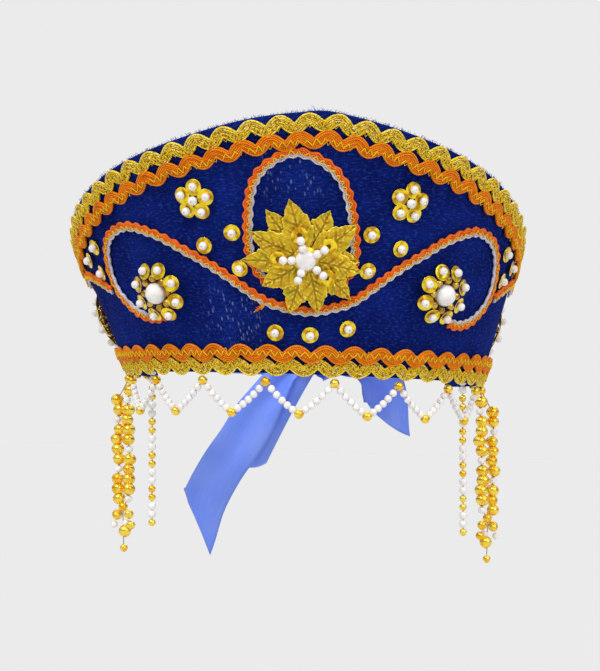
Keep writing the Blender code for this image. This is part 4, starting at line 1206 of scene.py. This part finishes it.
def inner_chain(side, sign):
    radius = BASE_RADIUS - WALL / math.cos(FLARE) - GAP - 0.42 * INNER_BEAD
    start = round_crown(radius, sign * INNER_AZIMUTH, INNER_SEWN)
    chain = Piece(PEARL, GOLD, STRING)
    count = int(INNER_DROP / INNER_BEAD)
    points = [start]
    for k in range(count):
        drop = INNER_DROP * (k + 0.5) / count
        gold = k % 4 in (2, 3)
        bead(chain, start + FALL * drop, FALL, INNER_BEAD * (0.5 if not gold else 0.46), 1 if gold else 0,
             sides=16)
        points.append(start + FALL * drop)
    thread(chain, points, 0.0002, 2)
    chain.make(f"inner_chain_{side}_beads", [f"inner_chain_{side}"])


for side, sign in (("left", -1), ("right", 1)):
    temple_chain(side, sign)
    inner_chain(side, sign)


# Satin ribbon
def ribbon(name, centres, sides, faces_out, half_widths, wave=0.0, seed=0, cut=0.0, bow=0.0):
    """Satin strip through centres, rippled across its width."""
    across = np.linspace(-1, 1, 13)
    rows = len(centres)
    t = np.linspace(0, 1, rows)[:, None]
    half = np.asarray(half_widths)[:, None]
    fold = wave * (np.sin(across * 4.1 + 3 * t + seed) * np.clip(2 * (1 - half / half.max()) + 0.35, 0, 1))
    point = centres[:, None] + sides[:, None] * (across * half)[..., None] + faces_out[:, None] * fold[...,
                                                                                                       None]
    ahead = along(centres)
    corner = TAIL_ROUND * np.clip(-across - 0.55, 0, 1) ** 2 * (cut != 0)
    slant = (cut * across + bow * (1 - across**2) - corner) * np.clip((t - 0.85) / 0.15, 0, 1)
    point = point + ahead[:, None] * slant[..., None]
    thick = faces_out[:, None] * RIBBON_THICKNESS / 2
    run = run_of(centres)
    lay = lay_from(across * half, run[:, None])
    strip = Piece(SATIN)
    strip.sheet(point - thick, point + thick, lay)
    piece = strip.make(name + "_satin", [name])


RIBBON_MIDDLE = RIBBON_RISE + RIBBON_WIDTH / 2
knot_turn = math.asin(KNOT_SIDE / BACK_RADIUS)
knot_half = (KNOT_WIDTH / 2 + GAP) / BACK_RADIUS
# The band is gathered over this angle, and goes into the knot by this share of the knot's half width
BAND_GATHER_TURN = 0.22
BAND_GATHER = 0.42
BAND_IN_KNOT = 0.6

for side, sign, stop in (("left", -1, math.pi + knot_turn - knot_half),
                         ("right", 1, math.pi - knot_turn - knot_half)):
    stop += BAND_IN_KNOT * knot_half
    azimuths = np.linspace(HALF_WRAP - RIBBON_OVERLAP, stop, BAND_STATIONS)
    gathered = np.clip((azimuths - stop) / BAND_GATHER_TURN + 1, 0, 1)
    halves = RIBBON_WIDTH / 2 * (1 - BAND_GATHER * gathered**2 * (3 - 2 * gathered))
    free = np.clip((azimuths - HALF_WRAP) / (2 * RIBBON_OVERLAP), 0, 1)
    free = (free * free * (3 - 2 * free))[:, None]
    point, right, up, out = wall(sign * azimuths, RIBBON_MIDDLE)
    sewn = point - out * (WALL + 2 * GAP + RIBBON_THICKNESS)
    flat_out = np.stack([np.sin(sign * azimuths), -np.cos(azimuths), 0 * azimuths], 1)
    back = flat_out * BACK_RADIUS + np.array([0, 0, RIBBON_MIDDLE])
    centres = sewn * (1 - free) + back * free
    sides = unit(up * (1 - free) + np.array([0, 0, 1.0]) * free)
    outs = unit(out * (1 - free) + flat_out * free)
    ribbon(f"ribbon_band_{side}", centres, sides, outs, halves,
           wave=0.0006, seed=sign)

KNOT = np.array([KNOT_SIDE, BACK_RADIUS * math.cos(knot_turn) + KNOT_DEPTH / 4, RIBBON_MIDDLE])


def bow_knot():
    """The ribbon wound twice round the bow's middle, gathered into pleats."""
    turn = np.linspace(0, 2 * math.pi, 64, endpoint=False)
    rows = []
    for high in np.linspace(-0.5, 0.5, 22):
        wide = 1 - 0.34 * abs(2 * high) ** 3
        pleat = 1 + 0.05 * np.sin(7 * turn + 5 * high) + 0.03 * math.sin(high * 26)
        rows.append(np.stack([KNOT[0] + KNOT_WIDTH / 2 * wide * pleat * np.cos(turn),
                              KNOT[1] + KNOT_DEPTH / 2 * wide * pleat * np.sin(turn),
                              KNOT[2] + KNOT_TALL * high + 0.0006 * np.sin(2 * turn)], 1))
    knot = Piece(SATIN)
    points = np.array(rows)
    lay = lay_from(turn[None] * KNOT_WIDTH / 2, points[..., 2])
    knot.grid(points, 0, lay=lay)
    knot.make("bow_knot_satin", ["bow_knot"])


def bow_loop(name, sign, fall, fold, offset, gather, fan, seed):
    """Loop of ribbon that leaves the knot and comes back to it, gathered at both ends."""
    heading = np.array([sign * math.cos(fall), 0, -math.sin(fall)])
    across = np.array([math.cos(fold), 0, math.sin(fold)])
    angles = np.linspace(LOOP_START, 2 * math.pi - LOOP_START, LOOP_STATIONS)
    reach = LOOP_LENGTH * (1 - np.cos(angles)) / 2
    opened = LOOP_OPENING * np.sin(angles) * np.sin(angles / 2)
    centres = KNOT + np.array(offset) + heading * reach[:, None] + np.array([0, 1.0, 0]) * opened[:, None]
    centres = centres + across * (fan * np.clip(angles / math.pi - 1, 0, 1) ** 2)[:, None]
    halves = RIBBON_WIDTH / 2 * (gather + (1 - gather) * np.sin(angles / 2) ** 2)
    outs = unit(np.cross(along(centres), across))
    ribbon(name, centres, np.tile(across, (LOOP_STATIONS, 1)), outs, halves,
           wave=LOOP_WAVE, seed=seed)


def tail(name, rows, length, gather, spread, cut, bow, seed):
    """Free end of the ribbon, hanging from the knot with its width towards the back."""
    centres = KNOT + spline(np.array(rows) * length, TAIL_STATIONS)
    ahead = along(centres)
    sides = unit(np.cross(ahead, np.array([0, 1.0, 0])))
    outs = unit(np.cross(sides, ahead))
    halves = RIBBON_WIDTH / 2 * np.clip(gather + spread * np.arange(70) * 9 / 69, 0, 1)
    ribbon(name, centres, sides, outs, halves, wave=TAIL_WAVE, seed=seed, cut=cut,
           bow=bow)


bow_knot()
bow_loop("bow_loop_left", -1, *LEFT_LOOP, LEFT_LOOP_GATHER, LEFT_LOOP_FAN, 1.0)
bow_loop("bow_loop_right", 1, *RIGHT_LOOP, RIGHT_LOOP_GATHER, RIGHT_LOOP_FAN, 2.0)
tail("ribbon_tail_left", LEFT_TAIL_PATH, LEFT_TAIL, LEFT_TAIL_GATHER, LEFT_TAIL_SPREAD, LEFT_TAIL_CUT,
     LEFT_TAIL_BOW, 0.5)
tail("ribbon_tail_right", RIGHT_TAIL_PATH, RIGHT_TAIL, RIGHT_TAIL_GATHER, RIGHT_TAIL_SPREAD, RIGHT_TAIL_CUT,
     RIGHT_TAIL_BOW, 1.7)


# Loose fibres along the cloth's top edge, and one pale thread end at the peak
FIBRES = 1300
PALE_END = 0.060


def edge_fuzz():
    fuzz = Piece(FUZZ, PALE_THREAD)
    for _ in range(FIBRES):
        azimuth = RANDOM.uniform(-HALF_WRAP, HALF_WRAP) * 0.99
        point, right, up, out = wall(azimuth, top_height(azimuth) - 0.0004)
        point = point - out * RANDOM.uniform(0.1, 0.9) * WALL
        lean = right * RANDOM.uniform(-0.9, 0.9) + up + out * RANDOM.uniform(-0.4, 0.4)
        length = RANDOM.uniform(0.0007, 0.0016)
        bend = right * RANDOM.uniform(-0.3, 0.3) * length
        thread(fuzz, [point, point + lean * length * 0.5, point + lean * length + bend], 0.00009, 0, count=3)
    point, right, up, out = wall(PALE_END, top_height(PALE_END) - 0.0005)
    point = point - out * WALL / 2
    for spread in (-0.2, 0.0, 0.15):
        steps = [point + up * rise + right * (side + spread * rise)
                 for rise, side in ((0, 0), (0.0013, -0.0004), (0.0028, -0.0013))]
        thread(fuzz, steps, 0.0001, 1, count=4)
    fuzz.make("edge_fibres")


def frayed_end():
    """Threads of the arch's braid, showing below the scroll where its end was tucked under."""
    frayed = Piece(CORAL, YELLOW)
    for k in range(12):
        share = FRAYED_PLACE[0] + RANDOM.uniform(-0.003, 0.003)
        high = FRAYED_PLACE[1] + RANDOM.uniform(-0.004, 0.004)
        point, right, up, out = seat((share, high), 0.0006 + 0.0012 * RANDOM.random())
        length = RANDOM.uniform(0.0030, 0.0052)
        swing = -right * RANDOM.uniform(0.4, 0.9) - up * RANDOM.uniform(0.4, 0.8)
        steps = [point, point + swing * length * 0.5 + out * 0.0003,
                 point + swing * length + right * RANDOM.uniform(-0.0004, 0.0004)]
        thread(frayed, steps, 0.00022, 0 if k % 4 else 1, count=5)
    frayed.make("frayed_braid_end")


edge_fuzz()
frayed_end()


# Studio: pale floor far below, a soft sky and soft suns
FLOOR_LEVEL = -0.30
FLOOR_HALF = 60.0
floor = bpy.data.meshes.new("studio_floor")
floor.from_pydata([(x * FLOOR_HALF, y * FLOOR_HALF, FLOOR_LEVEL) for x,
                   y in ((-1, -1), (1, -1), (1, 1), (-1, 1))], [], [(0, 1, 2, 3)])
floor.materials.append(FLOOR)
floor = bpy.data.objects.new("studio_floor", floor)
bpy.context.scene.collection.objects.link(floor)

SKY_SHOWN = 0.83
world = bpy.data.worlds.new("studio sky")
bpy.context.scene.world = world
world.use_nodes = True
tree = world.node_tree
sky = tree.nodes["Background"]
direction = add(tree, "ShaderNodeTexCoord").outputs["Generated"]
height = add(tree, "ShaderNodeSeparateXYZ", {0: direction}).outputs
lit = ramp(tree, height[2], 0.10, 0.75)
sky_light = maths(tree, "ADD", 0.34, times(tree, lit, 0.50))
seen = add(tree, "ShaderNodeLightPath").outputs["Is Camera Ray"]
strength = add(tree, "ShaderNodeMix", {0: seen, 2: sky_light, 3: SKY_SHOWN}, data_type="FLOAT").outputs[0]
tree.links.new(strength, sky.inputs["Strength"])
sky.inputs["Color"].default_value = (1, 1, 1, 1)

# Columns: azimuth and elevation in degrees, strength, softness in degrees
for name, azimuth, elevation, power, soft in (
    ("key_light", -35, 48, 1.5, 24), ("fill_light", 40, 30, 0.75, 40), ("back_light", 170, 55, 0.6, 40),
):
    lamp = bpy.data.lights.new(name, "SUN")
    lamp.energy = power
    lamp.angle = math.radians(soft)
    sun = bpy.data.objects.new(name, lamp)
    bpy.context.scene.collection.objects.link(sun)
    a, e = math.radians(azimuth), math.radians(elevation)
    toward = Vector((math.sin(a) * math.cos(e), -math.cos(a) * math.cos(e), math.sin(e)))
    sun.rotation_mode = "QUATERNION"
    sun.rotation_quaternion = toward.to_track_quat("Z", "Y")

bpy.context.scene.view_settings.view_transform = "Standard"
